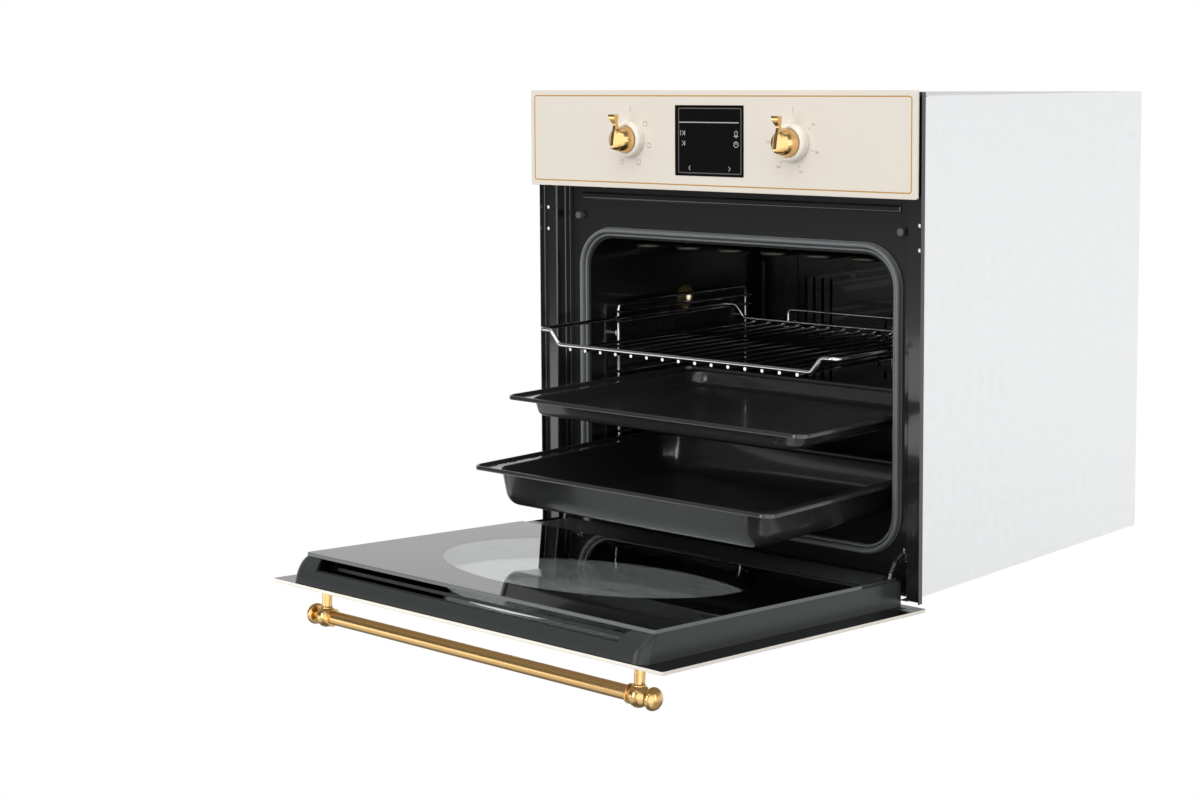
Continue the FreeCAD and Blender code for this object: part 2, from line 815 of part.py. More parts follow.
def cavity():
    """The enamelled oven chamber, with a pressed panel in each side wall."""
    b = body("cavity")
    w = S.cavity_wall
    e = S.wall_emboss
    block(b, "XZ", plate_back, cavity_back + w,
          round_box(-cavity_out, cavity_low - w, cavity_out, cavity_high + w, chamber_radius + w))
    for a, z in ((-cavity_out - e, -cavity_half), (cavity_half, cavity_out + e)):
        block(b, "YZ", a, z,
              round_box(panel_front - w, panel_low - w, panel_back + w, panel_high + w, S.panel_corner + w))
    cut(b, "XZ", plate_back - 1, cavity_back,
        round_box(-cavity_half, cavity_low, cavity_half, cavity_high, chamber_radius))
    for a, z in ((-cavity_half - e, 1 - cavity_half), (cavity_half - 1, cavity_half + e)):
        cut(b, "YZ", a, z, round_box(panel_front, panel_low, panel_back, panel_high, S.panel_corner))
    holes = [ring(0.0, cavity_mid, S.shaft_radius * 2)]
    for side in (-1, 1):
        holes.append(ring(side * grill_pitch / 2, grill_z, heater_hole))
        holes.append(ring(side * ring_leg, cavity_mid - ring_drop, heater_hole))
    cut(b, "XZ", cavity_back - 1, cavity_back + w + 1, *holes)
    cut(b, "YZ", -cavity_out - e - 1, -cavity_half, ring(lamp_y, lamp_z, S.lamp_radius - 6))


def cavity_gasket():
    """The soft door seal: a flat foot and a rounded bulb all round the opening."""
    b = body("cavity_gasket")
    wide = S.seal_width
    half = opening_half + 2
    low = S.opening_low - 1
    high = opening_high + 2
    corner = S.opening_radius
    block(b, "XZ", plate_front - 2, plate_front,
          round_box(-half - wide - 2, low - wide, half + wide + 2, high + wide + 2, corner + wide + 2),
          round_box(-half, low, half, high, corner))
    block(b, "XZ", seal_front, plate_front - 1,
          round_box(-half - wide, low - wide + 2, half + wide, high + wide, corner + wide),
          round_box(-half + 0.5, low, half - 0.5, high, corner))
    soften(b, wide * 0.34, lambda e: flat_at(e, "Y", seal_front))


def door_bumpers():
    """Two soft buffers that the closed door meets, each with a stem through the plate."""
    b = body("door_bumpers")
    for side in (-1, 1):
        block(b, "XZ", plate_front - 1, plate_back + 3, ring(side * bumper_x, bumper_z, S.bumper_stem))
        block(b, "XZ", bumper_front, plate_front, ring(side * bumper_x, bumper_z, S.bumper_radius))
    soften(b, S.bumper_radius * 0.4, lambda e: flat_at(e, "Y", bumper_front))


def side_panel(label, side):
    """One galvanised side of the casing, with turned edges."""
    b = body(label)
    t = S.sheet_thick
    inner = casing_half - t
    turned = inner - S.casing_turn

    def strip(reach, outline):
        a = as_size(reach[0])
        z = as_size(reach[1])
        block(b, "YZ", a if side > 0 else -z, z if side > 0 else -a, outline)

    strip((inner, casing_half), box(0.0, t, casing_back, casing_top - t))
    strip((turned, inner + t / 2), box(casing_front, casing_top - 2 * t, casing_back, casing_top - t))
    strip((turned, inner + t / 2), box(casing_front, t, casing_back, 2 * t))
    strip((turned, inner + t / 2), box(casing_back - t, t, casing_back, casing_top - t))
    holes = [ring(side * rear_screw_x, height, S.rear_screw_radius) for height in rear_screw_z]
    cut(b, "XZ", casing_back - t - 1, casing_back + 1, *holes)


def base_pan():
    """The floor of the casing, with pressed ribs and a notch at the front for each hinge."""
    b = body("base_pan")
    t = S.sheet_thick
    edge = casing_half - t - 0.5
    block(b, "XY", 0.0, t, box(-edge, -t, edge, casing_back))
    for side in (-1, 1):
        at = side * hinge_reach
        cut(b, "XY", -1.0, t + 1, round_box(at - 9.5, -t - 9, at + 9.5, plate_front - 7, 3.0))
    for across in (-opening_half * 0.64, 0.0, opening_half * 0.64):
        block(b, "XY", t - 0.2, t + 3, slot((across, plate_back + 60), (across, casing_back - 60), 9.0))
    soften(b, 2.0, lambda e: flat_at(e, "Z", t + 3))


def top_cover():
    """The lid of the casing, with air slots over the blower."""
    b = body("top_cover")
    t = S.sheet_thick
    block(b, "XY", casing_top - t, casing_top,
          box(-casing_half, casing_front, casing_half, casing_back + t))
    half = blower_half * 0.86
    first = slot((-half, blower_y - S.blower_radius), (-half, blower_y + S.blower_radius), S.vent_radius)
    repeat(b, cut(b, "XY", casing_top - t - 1, casing_top + 1, first), "H_Axis", half * 2, 12)


def back_cover():
    """The rear of the casing, with a field of air slots behind the fan motor."""
    b = body("back_cover")
    t = S.sheet_thick
    block(b, "XZ", casing_back, casing_back + t, box(-casing_half, 0.0, casing_half, casing_top - t))
    slots = []
    half = S.fan_radius * 1.1
    for row in range(4):
        z = cavity_mid + half * (row * 0.48 - 0.84)
        slots.append(slot((-half, z), (-half, z + half * 0.28), S.vent_radius))
    repeat(b, cut(b, "XZ", casing_back - 1, casing_back + t + 1, *slots), "H_Axis", half * 2, 9)
    holes = []
    for side in (-1, 1):
        for height in rear_screw_z:
            holes.append(ring(side * rear_screw_x, height, S.rear_screw_radius))
    cut(b, "XZ", casing_back - 1, casing_back + t + 1, *holes)


def rear_screws():
    """The self-tapping screws that hold the rear cover to the turned edges of the sides."""
    b = body("rear_screws")
    r = S.rear_screw_radius
    seat = casing_back + S.sheet_thick
    head = seat + r * 1.2
    for side in (-1, 1):
        for height in rear_screw_z:
            block(b, "XZ", casing_back - r * 3, seat + r / 4, ring(side * rear_screw_x, height, r))
            block(b, "XZ", seat, head, ring(side * rear_screw_x, height, r * 2))
    soften(b, r * 0.66, lambda e: flat_at(e, "Y", head))


def insulation():
    """The mineral wool jacket round the chamber, kept off the floor where the lower heater lies."""
    b = body("insulation")
    block(b, "XZ", plate_back, cavity_back,
          box(-wool_out, wool_low - S.wool_thick / 2, wool_out, wool_top),
          box(-wool_half, wool_low, wool_half, cavity_high + S.cavity_wall))
    rooms = []
    for side in (-1, 1):
        across = side * hinge_reach
        rooms.append(box(across - 7, cavity_low - 12, across + 7, cavity_low + 15))
        rooms.append(ring(side * bumper_x, bumper_z, S.bumper_stem * 1.5))
    cut(b, "XZ", plate_back - 1, plate_back + 18, *rooms)
    cut(b, "YZ", -wool_out - 1, 1 - wool_half, ring(lamp_y, lamp_z, S.lamp_radius + 1))


def fascia_panel():
    """The cream glass control panel, cut for the display and the two spindles."""
    b = body("fascia_panel")
    g = S.run_gap
    block(b, "XZ", front, front_back,
          round_box(-half_front, fascia_low, half_front, fascia_top, S.pane_corner))
    soften(b, S.pane_edge, lambda e: flat_at(e, "Y", front))
    cut(b, "XZ", front - 1, front_back + 1,
        box(-S.display_half - g, display_low - g, S.display_half + g, display_high + g),
        ring(-S.dial_reach, fascia_mid, S.dial_hole), ring(S.dial_reach, fascia_mid, S.dial_hole))


def fascia_carrier():
    """The moulded tray that carries the control panel and stands on the frame's flanges."""
    b = body("fascia_carrier")
    t = S.carrier_wall
    edge = flange_half - S.carrier_edge
    low = fascia_low + S.carrier_edge
    high = frame_top - S.carrier_edge
    back = -S.sheet_thick
    lap = S.display_lap
    block(b, "XZ", front_back, back, round_box(-edge, low, edge, high, 4.0))
    cut(b, "XZ", front_back + t, back + 1, round_box(-edge + t, low + t, edge - t, high - t, 2.0))
    for side in (-1, 1):
        for height in (low + 12, high - 12):
            block(b, "XZ", front_back + 1, plate_front, ring(side * (S.dial_reach + 75), height, 5.0))
    cut(b, "XZ", front_back - 1, front_back + t + 1,
        box(-S.display_half + lap, display_low + lap, S.display_half - lap, display_high - lap),
        ring(-S.dial_reach, fascia_mid, S.dial_hole), ring(S.dial_reach, fascia_mid, S.dial_hole))


def display_glass():
    """The black display window, a hair proud of the control panel."""
    b = body("display_glass")
    block(b, "XZ", front - 0.5, front_back,
          round_box(-S.display_half, display_low, S.display_half, display_high, 1.5))


def display_module():
    """The clock's housing behind the display window, clipped in the carrier."""
    b = body("display_module")
    lap = S.display_lap
    block(b, "XZ", front_back, plate_back + 6,
          round_box(-S.display_half + lap, display_low + lap, S.display_half - lap, display_high - lap, 2.0))
    block(b, "XZ", front_back + S.carrier_wall, front_back + S.carrier_wall * 2,
          box(-S.display_half - 6, display_low + lap + 3, S.display_half + 6, display_high - lap - 3))
    soften(b, 1.5, lambda e: flat_at(e, "Y", plate_back + 6))


def knob_bezel(label, side):
    """The cream ring behind one knob: a straight skirt, a full shoulder and a shallow dish."""
    b = body(label, (side * S.dial_reach, front, fascia_mid))
    r = S.bezel_radius
    p = S.bezel_proud
    bore = S.dial_hole
    land = r - S.bezel_round - 0.1
    turn(b, "XY", "V_Axis", (bore, 0.0), (r, 0.0), (r, -p), (land, -p), (land - 3, 1 - p), (bore, 1 - p))
    soften(b, S.bezel_round, lambda e: flat_at(e, "Y", -p) and e.BoundBox.XLength > 2 * r.value - 0.1)


def knob(label, side):
    """A turned knob with a teardrop blade on its face that runs out into a flared lever head."""
    b = body(label, (side * S.dial_reach, front, fascia_mid))
    r = S.knob_radius
    face = knob_face
    bore = face + S.knob_bore
    turn(b, "XY", "V_Axis", (S.spindle_radius, knob_back), (r, knob_back), (r, knob_back - 3),
         (r - 0.8, knob_back - 4), (r - 1, face + 2), (r - 2.5, face), (0.0, face), (0.0, bore),
         (S.spindle_radius, bore))
    reach = S.knob_lever

    def blade(half, crest, proud, lean):
        return loop((-half, face + 1 - lean), (-crest, face - proud - lean), (crest, face - proud - lean),
                    (half, face + 1 - lean))

    loft(b, "Additive", "XY",
         (reach * -0.46, blade(2.4, 1.0, 1.0, 0.0)), (reach * -0.3, blade(4.4, 1.6, 3.6, 0.0)),
         (reach * 0.0, blade(5.2, 2.0, 5.2, 0.0)), (reach * 0.3, blade(4.0, 1.8, 5.0, 0.0)),
         (reach * 0.52, blade(2.4, 1.5, 4.6, 0.3)), (reach * 0.66, blade(2.3, 1.6, 4.2, 1.0)),
         (reach * 0.82, blade(3.8, 2.8, 4.2, 2.2)), (reach * 0.95, blade(6.4, 5.6, 4.4, 3.2)),
         (reach, blade(6.2, 5.4, 4.2, 3.4)))


def spindle(label, side):
    """The shaft that one knob turns, down into the switch behind the panel."""
    b = body(label, (side * S.dial_reach, front, fascia_mid))
    start = knob_face + S.knob_bore
    end = plate_back - front + S.spindle_tail
    turn(b, "XY", "V_Axis", (0.0, start), (S.spindle_radius, start), (S.spindle_radius, end), (0.0, end))


def rotary_unit(label, side, deep, half):
    """A panel switch: a neck in the plate, a metal yoke and the moulded body with its bore."""
    b = body(label, (side * S.dial_reach, 0.0, fascia_mid))
    block(b, "XZ", plate_back, plate_back + 1.5, box(-half - 6, 2.0 - half, half + 6, half - 2.0))
    block(b, "XZ", plate_back + 1, plate_back + deep, round_box(-half, -half, half, half, 3.0))
    block(b, "XZ", plate_front - 5, plate_back + 1.2, ring(0.0, 0.0, S.dial_hole - 0.4))
    bore = plate_back + S.spindle_tail + 1
    cut(b, "XZ", plate_front - 6, bore, ring(0.0, 0.0, S.spindle_radius + S.run_gap))
    terminals = []
    for i in range(4):
        start = half * (0.4 * i - 0.76)
        terminals.append(box(start, -4.0, start + 4, 4.0))
    block(b, "XZ", plate_back + deep - 1, plate_back + deep + 9, *terminals)


def grill_element():
    """The grill: one round tube that winds under the roof, with its plate on the rear wall."""
    p = grill_pitch
    close = plate_back + S.grill_start
    far = cavity_back - S.grill_end
    rear = (far * 2 + cavity_back) / 3
    path = [(-p / 2, heater_end, grill_z), (-p / 2, rear, grill_z), (-p * 5.5, rear, grill_z)]
    for i in range(12):
        across = p * (i - 5.5)
        ends = (close, far) if i % 2 else (far, close)
        if i in (0, 11):
            path.append((across, close, grill_z))
        else:
            path.extend([(across, ends[0], grill_z), (across, ends[1], grill_z)])
    path.extend([(p * 5.5, rear, grill_z), (p / 2, rear, grill_z), (p / 2, heater_end, grill_z)])
    tube = bar(path, p.value * 0.42, S.heater_radius)
    plate = Part.makeBox(70, 1.5, 24, FreeCAD.Vector(-35, cavity_back.value - 1.5, grill_z.value - 12))
    shaped("grill_element", [tube, plate])


def grill_clips():
    """The bent straps that hang the grill tube from the roof."""
    b = body("grill_clips")
    r = S.heater_radius
    for run in (-4.5, 0.5, 4.5):
        across = grill_pitch * run
        for level in (plate_back + 90, cavity_back - 150):
            block(b, "XZ", level, level + 12, loop(
                (across + r, grill_z - r), (across + r, cavity_high), (across + r + 1.2, cavity_high),
                (across + r + 1.2, grill_z - r - 1.2), (across - r, grill_z - r - 1.2),
                (across - r, grill_z - r)))


def bottom_element():
    """The lower heater: one bent tube pressed against the underside of the chamber."""
    z = cavity_low - S.cavity_wall - S.heater_radius
    close = plate_back + S.lower_end
    far = cavity_back - S.lower_end
    outer = opening_half - S.lower_margin
    inner = outer - S.lower_step
    leg = S.lower_leg
    half = [(leg, heater_end, z), (leg, far, z), (outer, far, z), (outer, close, z),
            (inner, close, z), (inner, far - inner * 0.74, z)]
    path = [(-across, y, z) for across, y, z in half] + half[::-1]
    shaped("bottom_element", [bar(path, 16.0, S.heater_radius)])


def ring_element():
    """The round heater about the convection fan, with its two legs through the rear wall."""
    y = cavity_back - S.ring_room
    drop = float(ring_drop)
    leg = float(ring_leg)
    open_half = math.degrees(math.atan2(leg, drop))
    centre = FreeCAD.Vector(0, y.value, cavity_mid.value)
    hoop = Part.makeTorus(math.hypot(leg, drop), S.heater_radius.value, FreeCAD.Vector(),
                          FreeCAD.Vector(0, 0, 1), -180, 180, 360 - 2 * open_half)
    hoop.rotate(FreeCAD.Vector(), FreeCAD.Vector(0, 0, 1), open_half - 90)
    hoop.rotate(FreeCAD.Vector(), FreeCAD.Vector(1, 0, 0), 90)
    hoop.translate(centre)
    parts = [hoop]
    for side in (-1, 1):
        foot = (side * leg, y, cavity_mid - drop)
        parts.append(rod(foot, (side * leg, heater_end, cavity_mid - drop), S.heater_radius))
        parts.append(Part.makeSphere(S.heater_radius.value, FreeCAD.Vector(*[float(n) for n in foot])))
    whole = parts[0].fuse(parts[1:])
    corner = FreeCAD.Vector(-25, cavity_back.value - 1.5, cavity_mid.value - drop - 10)
    plate = Part.makeBox(50, 1.5, 20, corner)
    shaped("ring_element", [whole.fuse(plate)])


def fan_baffle():
    """The pressed cover in front of the fan: slots for the intake and slots for the hot air."""
    b = body("fan_baffle")
    half = cavity_half - S.baffle_side
    low = cavity_low + S.baffle_foot
    high = cavity_high - S.baffle_head
    t = S.sheet_thick
    corner = S.baffle_corner
    bend = S.baffle_round
    block(b, "XZ", baffle_front, cavity_back, round_box(-half, low, half, high, corner))
    cut(b, "XZ", baffle_front + t, cavity_back + 1,
        round_box(t - half, low + t, half - t, high - t, corner - t))
    soften(b, bend - t, lambda e: flat_at(e, "Y", baffle_front + t))
    soften(b, bend, lambda e: flat_at(e, "Y", baffle_front))
    slots = []
    field = S.fan_radius * 0.89
    for i in range(-5, 6):
        across = field * (i * 0.18)
        reach = field * (math.sqrt(1 - (i * 0.18) ** 2) - 0.06)
        slots.append(slot((across, cavity_mid - reach), (across, cavity_mid + reach), S.vent_radius))
    cut(b, "XZ", baffle_front - 1, baffle_front + 2, *slots)
    span = half * 0.22
    tall = S.fan_radius * 1.25
    rib = tall * 0.09
    for across in (span * 0.4 - half, half - span * 1.4):
        pair = [slot((across, cavity_mid - tall), (across, cavity_mid - rib), S.vent_radius),
                slot((across, cavity_mid + rib), (across, cavity_mid + tall), S.vent_radius)]
        repeat(b, cut(b, "XZ", baffle_front - 1, baffle_front + 2, *pair), "H_Axis", span, 4)


def fan_motor():
    """The convection fan's motor and its bracket on the outside of the rear wall."""
    b = body("fan_motor", (0.0, cavity_back + S.cavity_wall, cavity_mid))
    r = S.motor_radius
    long = S.motor_length
    foot = S.motor_foot
    block(b, "XZ", 0.0, 2.0, round_box(-foot, r * -0.53, foot, r * 0.53, 6.0))
    block(b, "XZ", 1.5, long, ring(0.0, 0.0, r))
    block(b, "XZ", long * 0.27, long * 0.73, round_box(r * -1.33, r * -0.73, r * 1.33, r * 0.73, 4.0))
    cut(b, "XZ", -1.0, S.shaft_grip + 2, ring(0.0, 0.0, shaft_hole))
    soften(b, r * 0.1, lambda e: flat_at(e, "Y", long))


def fan_wheel():
    """The convection fan: a hub, a back disc, swept blades and the shaft into the motor."""
    b = body("fan_wheel", (0.0, cavity_back, cavity_mid))
    r = S.fan_radius
    tip = S.fan_clear - S.baffle_room
    disc = -S.fan_clear - S.sheet_thick * 2
    block(b, "XZ", tip + 2, -S.fan_clear, ring(0.0, 0.0, S.shaft_radius * 2.5))
    block(b, "XZ", disc - S.sheet_thick, disc, ring(0.0, 0.0, r))
    blade = loop((r * 0.45, 0.0), (r * 0.91, r * 0.33), (r * 0.9, r * 0.35), (r * 0.45, r * 0.02))
    repeat_round(b, block(b, "XZ", tip + 5, disc - S.sheet_thick / 2, blade), 10)
    block(b, "XZ", tip, S.shaft_grip, ring(0.0, 0.0, S.shaft_radius))


def lamp():
    """The oven lamp in the left wall: a ceramic holder, a bulb and a glass dome."""
    at = (0.0, lamp_y, lamp_z)
    wall = -cavity_half - S.wall_emboss
    skin = wall - S.cavity_wall
    r = S.lamp_radius
    holder = body("lamp_holder", at)
    turn(holder, "XY", "H_Axis", (skin - 21, 0.0), (skin - 21, r - 2), (skin, r - 2), (skin, 9.0),
         (skin - 18, 9.0), (skin - 18, 0.0))
    bulb = body("lamp_bulb", at)
    turn(bulb, "XY", "H_Axis", (skin - 18, 0.0), (skin - 18, 9.0), (skin - 6, 9.0), (skin - 2, 7.0),
         (wall + 3, 7.0), (wall + 3, 0.0))
    soften(bulb, 4.0, lambda e: flat_at(e, "X", wall + 3))
    lens = body("lamp_lens", at)
    crown = -rack_inner - 1
    turn(lens, "XY", "H_Axis", (wall, r - 4), (wall, r), (wall + 2.5, r), (crown, r - 7),
         (crown, 0.0), (crown - 2.5, 0.0), (crown - 2.5, r - 9), (wall + 2, r - 4))
    soften(lens, 1.0, lambda e: flat_at(e, "X", crown) or flat_at(e, "X", wall + 2.5))


def side_rack(label, side):
    """One chromed wire rack: a bent frame with a pair of guide wires at each level."""
    x = side * rack_x
    near_y = rack_front
    far_y = rack_back
    low = level_low - S.rack_foot
    high = level_low + S.level_pitch * 5 + S.rack_head
    arch = [(x, near_y, low), (x, near_y, high), (x, far_y, high), (x, far_y, low)]
    wires = [bar(arch, 12.0, S.rack_radius)]
    wires.append(rod((x, near_y, low), (x, far_y, low), S.rack_radius))
    for i in range(6):
        for rise in (0.0, S.guide_rise):
            height = level_low + S.level_pitch * i + rise
            reach = side * guide_side
            wires.append(rod((reach, near_y - 5, height), (reach, far_y + 5, height), S.guide_radius))
    shaped(label, wires)


def rack_studs():
    """The four studs in the side walls on which the racks hang."""
    b = body("rack_studs")
    wall = cavity_half + S.wall_emboss
    height = level_low + S.level_pitch * 4.6
    for y in (rack_front, rack_back):
        block(b, "YZ", rack_inner, wall, ring(y, height, S.stud_radius))
        block(b, "YZ", -wall, -rack_inner, ring(y, height, S.stud_radius))


def hinge_levers():
    """The steel arms of the hinges, hooked through the front plate and bored for the door's pins."""
    b = body("hinge_levers", hinge_at)
    plate = plate_front - hinge_y
    up = cavity_low - 6 - hinge_z
    half = S.hinge_plate / 2
    for side in (-1, 1):
        at = side * hinge_reach
        block(b, "YZ", at - half, at + half, loop(
            (-6.5, -3.0), (-4.0, -6.5), (4.0, -6.5), (6.5, -3.0), (8.0, 6.0), (plate * 0.38, up * 0.62),
            (plate * 0.62, up * 0.96), (plate - 2, up + 2), (plate + 2, up + 2), (plate + 2, up + 6),
            (plate + 6, up + 6), (plate + 6, up), (plate + 14, up), (plate + 14, up + 12),
            (plate * 0.75, up + 12), (plate * 0.31, up + 4), (0.0, up * 0.76), (-6.0, 8.0)))
        cut(b, "YZ", at - half - 1, at + half + 1, ring(0.0, 0.0, S.pin_radius + S.run_gap))
    soften(b, 1.6, lambda e: along(e, "X") and e.CenterOfMass.z > 6 and e.CenterOfMass.y < plate.value - 3)


def hinge_receivers():
    """The brackets behind the front plate in which the hinge arms hook."""
    b = body("hinge_receivers")
    half = S.hinge_plate / 2
    low = cavity_low - 10
    for side in (-1, 1):
        at = side * hinge_reach
        for a, z in ((at - half - 3, at - half), (at + half, at + half + 3)):
            block(b, "YZ", a, z, box(plate_back, low, plate_back + 12, low + 22))
        block(b, "YZ", at - half - 1, at + half + 1, box(plate_back + 1.4, low, plate_back + 4.6, low + 9.8))


def blower_housing():
    """The sheet duct of the cooling blower, on top of the wool, open to the front."""
    b = body("blower_housing")
    near_y = plate_back + 40
    r = S.blower_radius
    top = blower_z + r + 6
    t = S.sheet_thick
    half = blower_half
    block(b, "YZ", -half, half, loop(
        (near_y, wool_top), (blower_y + r + 8, wool_top), (blower_y + r + 8, top), (blower_y - r - 6, top),
        (blower_y - r - 6, top - t), (blower_y + r + 8 - t, top - t), (blower_y + r + 8 - t, wool_top + t),
        (near_y, wool_top + t)))
    for a, z in ((-half - 1.5, -half), (half, half + 1.5)):
        block(b, "YZ", a, z, loop((near_y, wool_top), (blower_y + r + 8, wool_top), (blower_y + r + 8, top),
                                  (blower_y - r - 6, top), (near_y, wool_top + 16)))
    cut(b, "YZ", -half - 2, 2 - half, ring(blower_y, blower_z, shaft_hole))
    cut(b, "YZ", half - 2, half + 2, ring(blower_y, blower_z, shaft_hole))


def blower_wheel():
    """The drum of the cooling blower: three discs on a shaft and a cage of curved vanes."""
    b = body("blower_wheel", (0.0, blower_y, blower_z))
    r = S.blower_radius
    half = blower_half - 4
    block(b, "YZ", -half - 12, half + S.shaft_grip, ring(0.0, 0.0, S.shaft_radius))
    for a in (-half, -1.0, half - 2):
        block(b, "YZ", a, a + 2, ring(0.0, 0.0, r))
    vane = loop((r * 0.78, 0.0), (r * 0.96, r * 0.2), (r * 0.945, r * 0.25), (r * 0.775, r * 0.05))
    repeat_round(b, block(b, "YZ", -half + 1, half - 1, vane), 18)


def blower_motor():
    """The cooling blower's motor on the right end of its duct."""
    b = body("blower_motor", (blower_half + 1.5, blower_y, blower_z))
    r = S.blower_motor_radius
    long = S.blower_motor_length
    block(b, "YZ", 0.0, 2.0, round_box(r * -1.4, -r, r * 1.4, r, r / 5))
    block(b, "YZ", 1.0, long, ring(0.0, 0.0, r))
    cut(b, "YZ", -1.0, S.shaft_grip + 2, ring(0.0, 0.0, shaft_hole))
    soften(b, r / 8, lambda e: flat_at(e, "X", long))


def terminal_block():
    """The mains inlet on the rear cover: a moulded box with a cable gland opening below."""
    at = (casing_half - S.terminal_side, casing_back + S.sheet_thick, casing_top - S.terminal_drop)
    b = body("terminal_block", at)
    half = S.terminal_half
    tall = S.terminal_tall
    deep = S.terminal_deep
    block(b, "XZ", 0.0, deep, round_box(-half, -tall, half, tall, 4.0))
    soften(b, 2.0, lambda e: flat_at(e, "Y", deep))
    gland = ring(0.0, deep / 2, S.gland_radius)
    block(b, "XY", -tall - S.gland_radius * 0.8, 2 - tall, gland)
    cut(b, "XY", -tall - S.gland_radius, tall * -0.33, ring(0.0, deep / 2, S.gland_radius * 0.65))


def temperature_probe():
    """The thin temperature feeler on the rear wall, with its clip plate."""
    b = body("temperature_probe", (cavity_half - S.probe_side, cavity_back, cavity_high - S.probe_drop))
    r = S.probe_radius
    plate = r * 2.8
    tip = -S.probe_length
    turn(b, "XY", "V_Axis", (0.0, 0.0), (plate, 0.0), (plate, -1.5), (r, -1.5), (r, tip), (0.0, tip))
    soften(b, r * 0.6, lambda e: flat_at(e, "Y", tip))


def door_outer_glass():
    """The large front pane of the door, drilled for the handle."""
    b = body("door_outer_glass", hinge_at, True)
    block(b, "XZ", pane_front, pane_back,
          round_box(-half_front, -S.hinge_up, half_front, door_high, S.pane_corner))
    soften(b, S.pane_edge, lambda e: flat_at(e, "Y", pane_front))
    holes = [ring(side * handle_reach, handle_z, S.tail_radius + S.run_gap) for side in (-1, 1)]
    cut(b, "XZ", pane_front - 1, pane_back + 1, *holes)


def door_frame():
    """The enamelled door shell: a drawn pan with a leaning top, an air slot and hinge slits."""
    b = body("door_frame", hinge_at, True)
    t = S.door_sheet
    low = frame_low
    base = recess_half - S.door_side
    top = inner_half + 0.8
    high = inner_top + 0.8
    corner = S.shell_corner
    wide = high + S.door_lean
    lean = S.door_lean
    deep = inner_seat - pane_back
    shoulder = []
    for share, drop in ((0.0, 0.0), (0.4, 0.14), (0.72, 0.42), (0.9, 0.72), (1.0, 1.0)):
        half = base - (base - top) * drop
        outline = arch_box(half, low, wide - lean * drop, corner - S.shell_taper * drop)
        shoulder.append((pane_back + deep * share, outline))
    loft(b, "Additive", "XZ", *shoulder, ruled=False)
    block(b, "XZ", inner_seat - 0.5, inner_face - 0.6,
          round_box(4 - top, low, top - 4, inner_bottom - 1.2, 3.0))
    soften(b, 1.5, lambda e: flat_at(e, "Y", inner_face - 0.6))
    loft(b, "Subtractive", "XZ", (pane_back, arch_box(base - t, low + t, wide - t, corner - t)),
         (seat_under, arch_box(top - t, low + t, high - t, corner - S.shell_taper - t)))
    margin = S.window_margin
    cut(b, "XZ", seat_under - 1, inner_seat + 1,
        round_box(-window_half, inner_bottom + margin, window_half, inner_top - margin, S.window_corner))
    slot_in = base - S.air_slot_side
    slot_out = slot_in - S.air_slot_lean
    cut(b, "XZ", inner_seat - S.air_slot_deep, inner_seat + 1,
        loop((-slot_in, high - 6), (slot_in, high - 6), (slot_out, wide + 2), (-slot_out, wide + 2)))
    slit = S.hinge_case + S.slit_clear
    slits = []
    for side in (-1, 1):
        at = side * hinge_reach
        slits.append(box(at - slit, low - 1, at + slit, hinge_slit))
    cut(b, "XZ", pane_back - 1, inner_face, *slits)


def door_inner_glass():
    """The inner pane that lies on the door shell."""
    b = body("door_inner_glass", hinge_at, True)
    block(b, "XZ", inner_seat, inner_face,
          round_box(-inner_half, inner_bottom, inner_half, inner_top, S.inner_corner))
    soften(b, 0.8, lambda e: flat_at(e, "Y", inner_face))


def middle_outline():
    """The outline of the middle pane, which the rails' grooves take up."""
    return box(-middle_half, inner_bottom - S.middle_foot, middle_half, inner_top - S.middle_head)


def door_middle_glass():
    """The pane between the inner and the outer one."""
    b = body("door_middle_glass", hinge_at, True)
    block(b, "XZ", middle_y, middle_y + S.pane_thick, middle_outline())


def glass_rails():
    """The two moulded rails inside the door that hold the middle pane by its edges."""
    b = body("glass_rails", hinge_at, True)
    low = inner_bottom - S.middle_foot - S.rail_end
    high = inner_top - S.middle_head + S.rail_end
    block(b, "XZ", pane_back, seat_under, box(-rail_out, low, -rail_in, high))
    block(b, "XZ", pane_back, seat_under, box(rail_in, low, rail_out, high))
    cut(b, "XZ", middle_y, middle_y + S.pane_thick, middle_outline())


def hinge_cases():
    """The door half of both hinges: a folded channel whose cheeks carry the pin."""
    b = body("hinge_cases", hinge_at, True)
    out = S.hinge_case
    t = S.case_sheet
    low = -S.case_foot
    high = S.case_length
    for side in (-1, 1):
        at = side * hinge_reach
        for a, z in ((at - out, at - out + t), (at + out - t, at + out)):
            block(b, "YZ", a, z, box(pane_back, low, seat_under, high))
        block(b, "XZ", pane_back, pane_back + t, box(at - out + t / 2, low, at + out - t / 2, high))
        cut(b, "YZ", at - out - 1, at + out + 1, ring(0.0, 0.0, S.pin_radius))


def hinge_pins():
    """The two pins on which the door turns."""
    b = body("hinge_pins", hinge_at, True)
    for side in (-1, 1):
        at = side * hinge_reach
        block(b, "YZ", at - S.hinge_case, at + S.hinge_case, ring(0.0, 0.0, S.pin_radius))


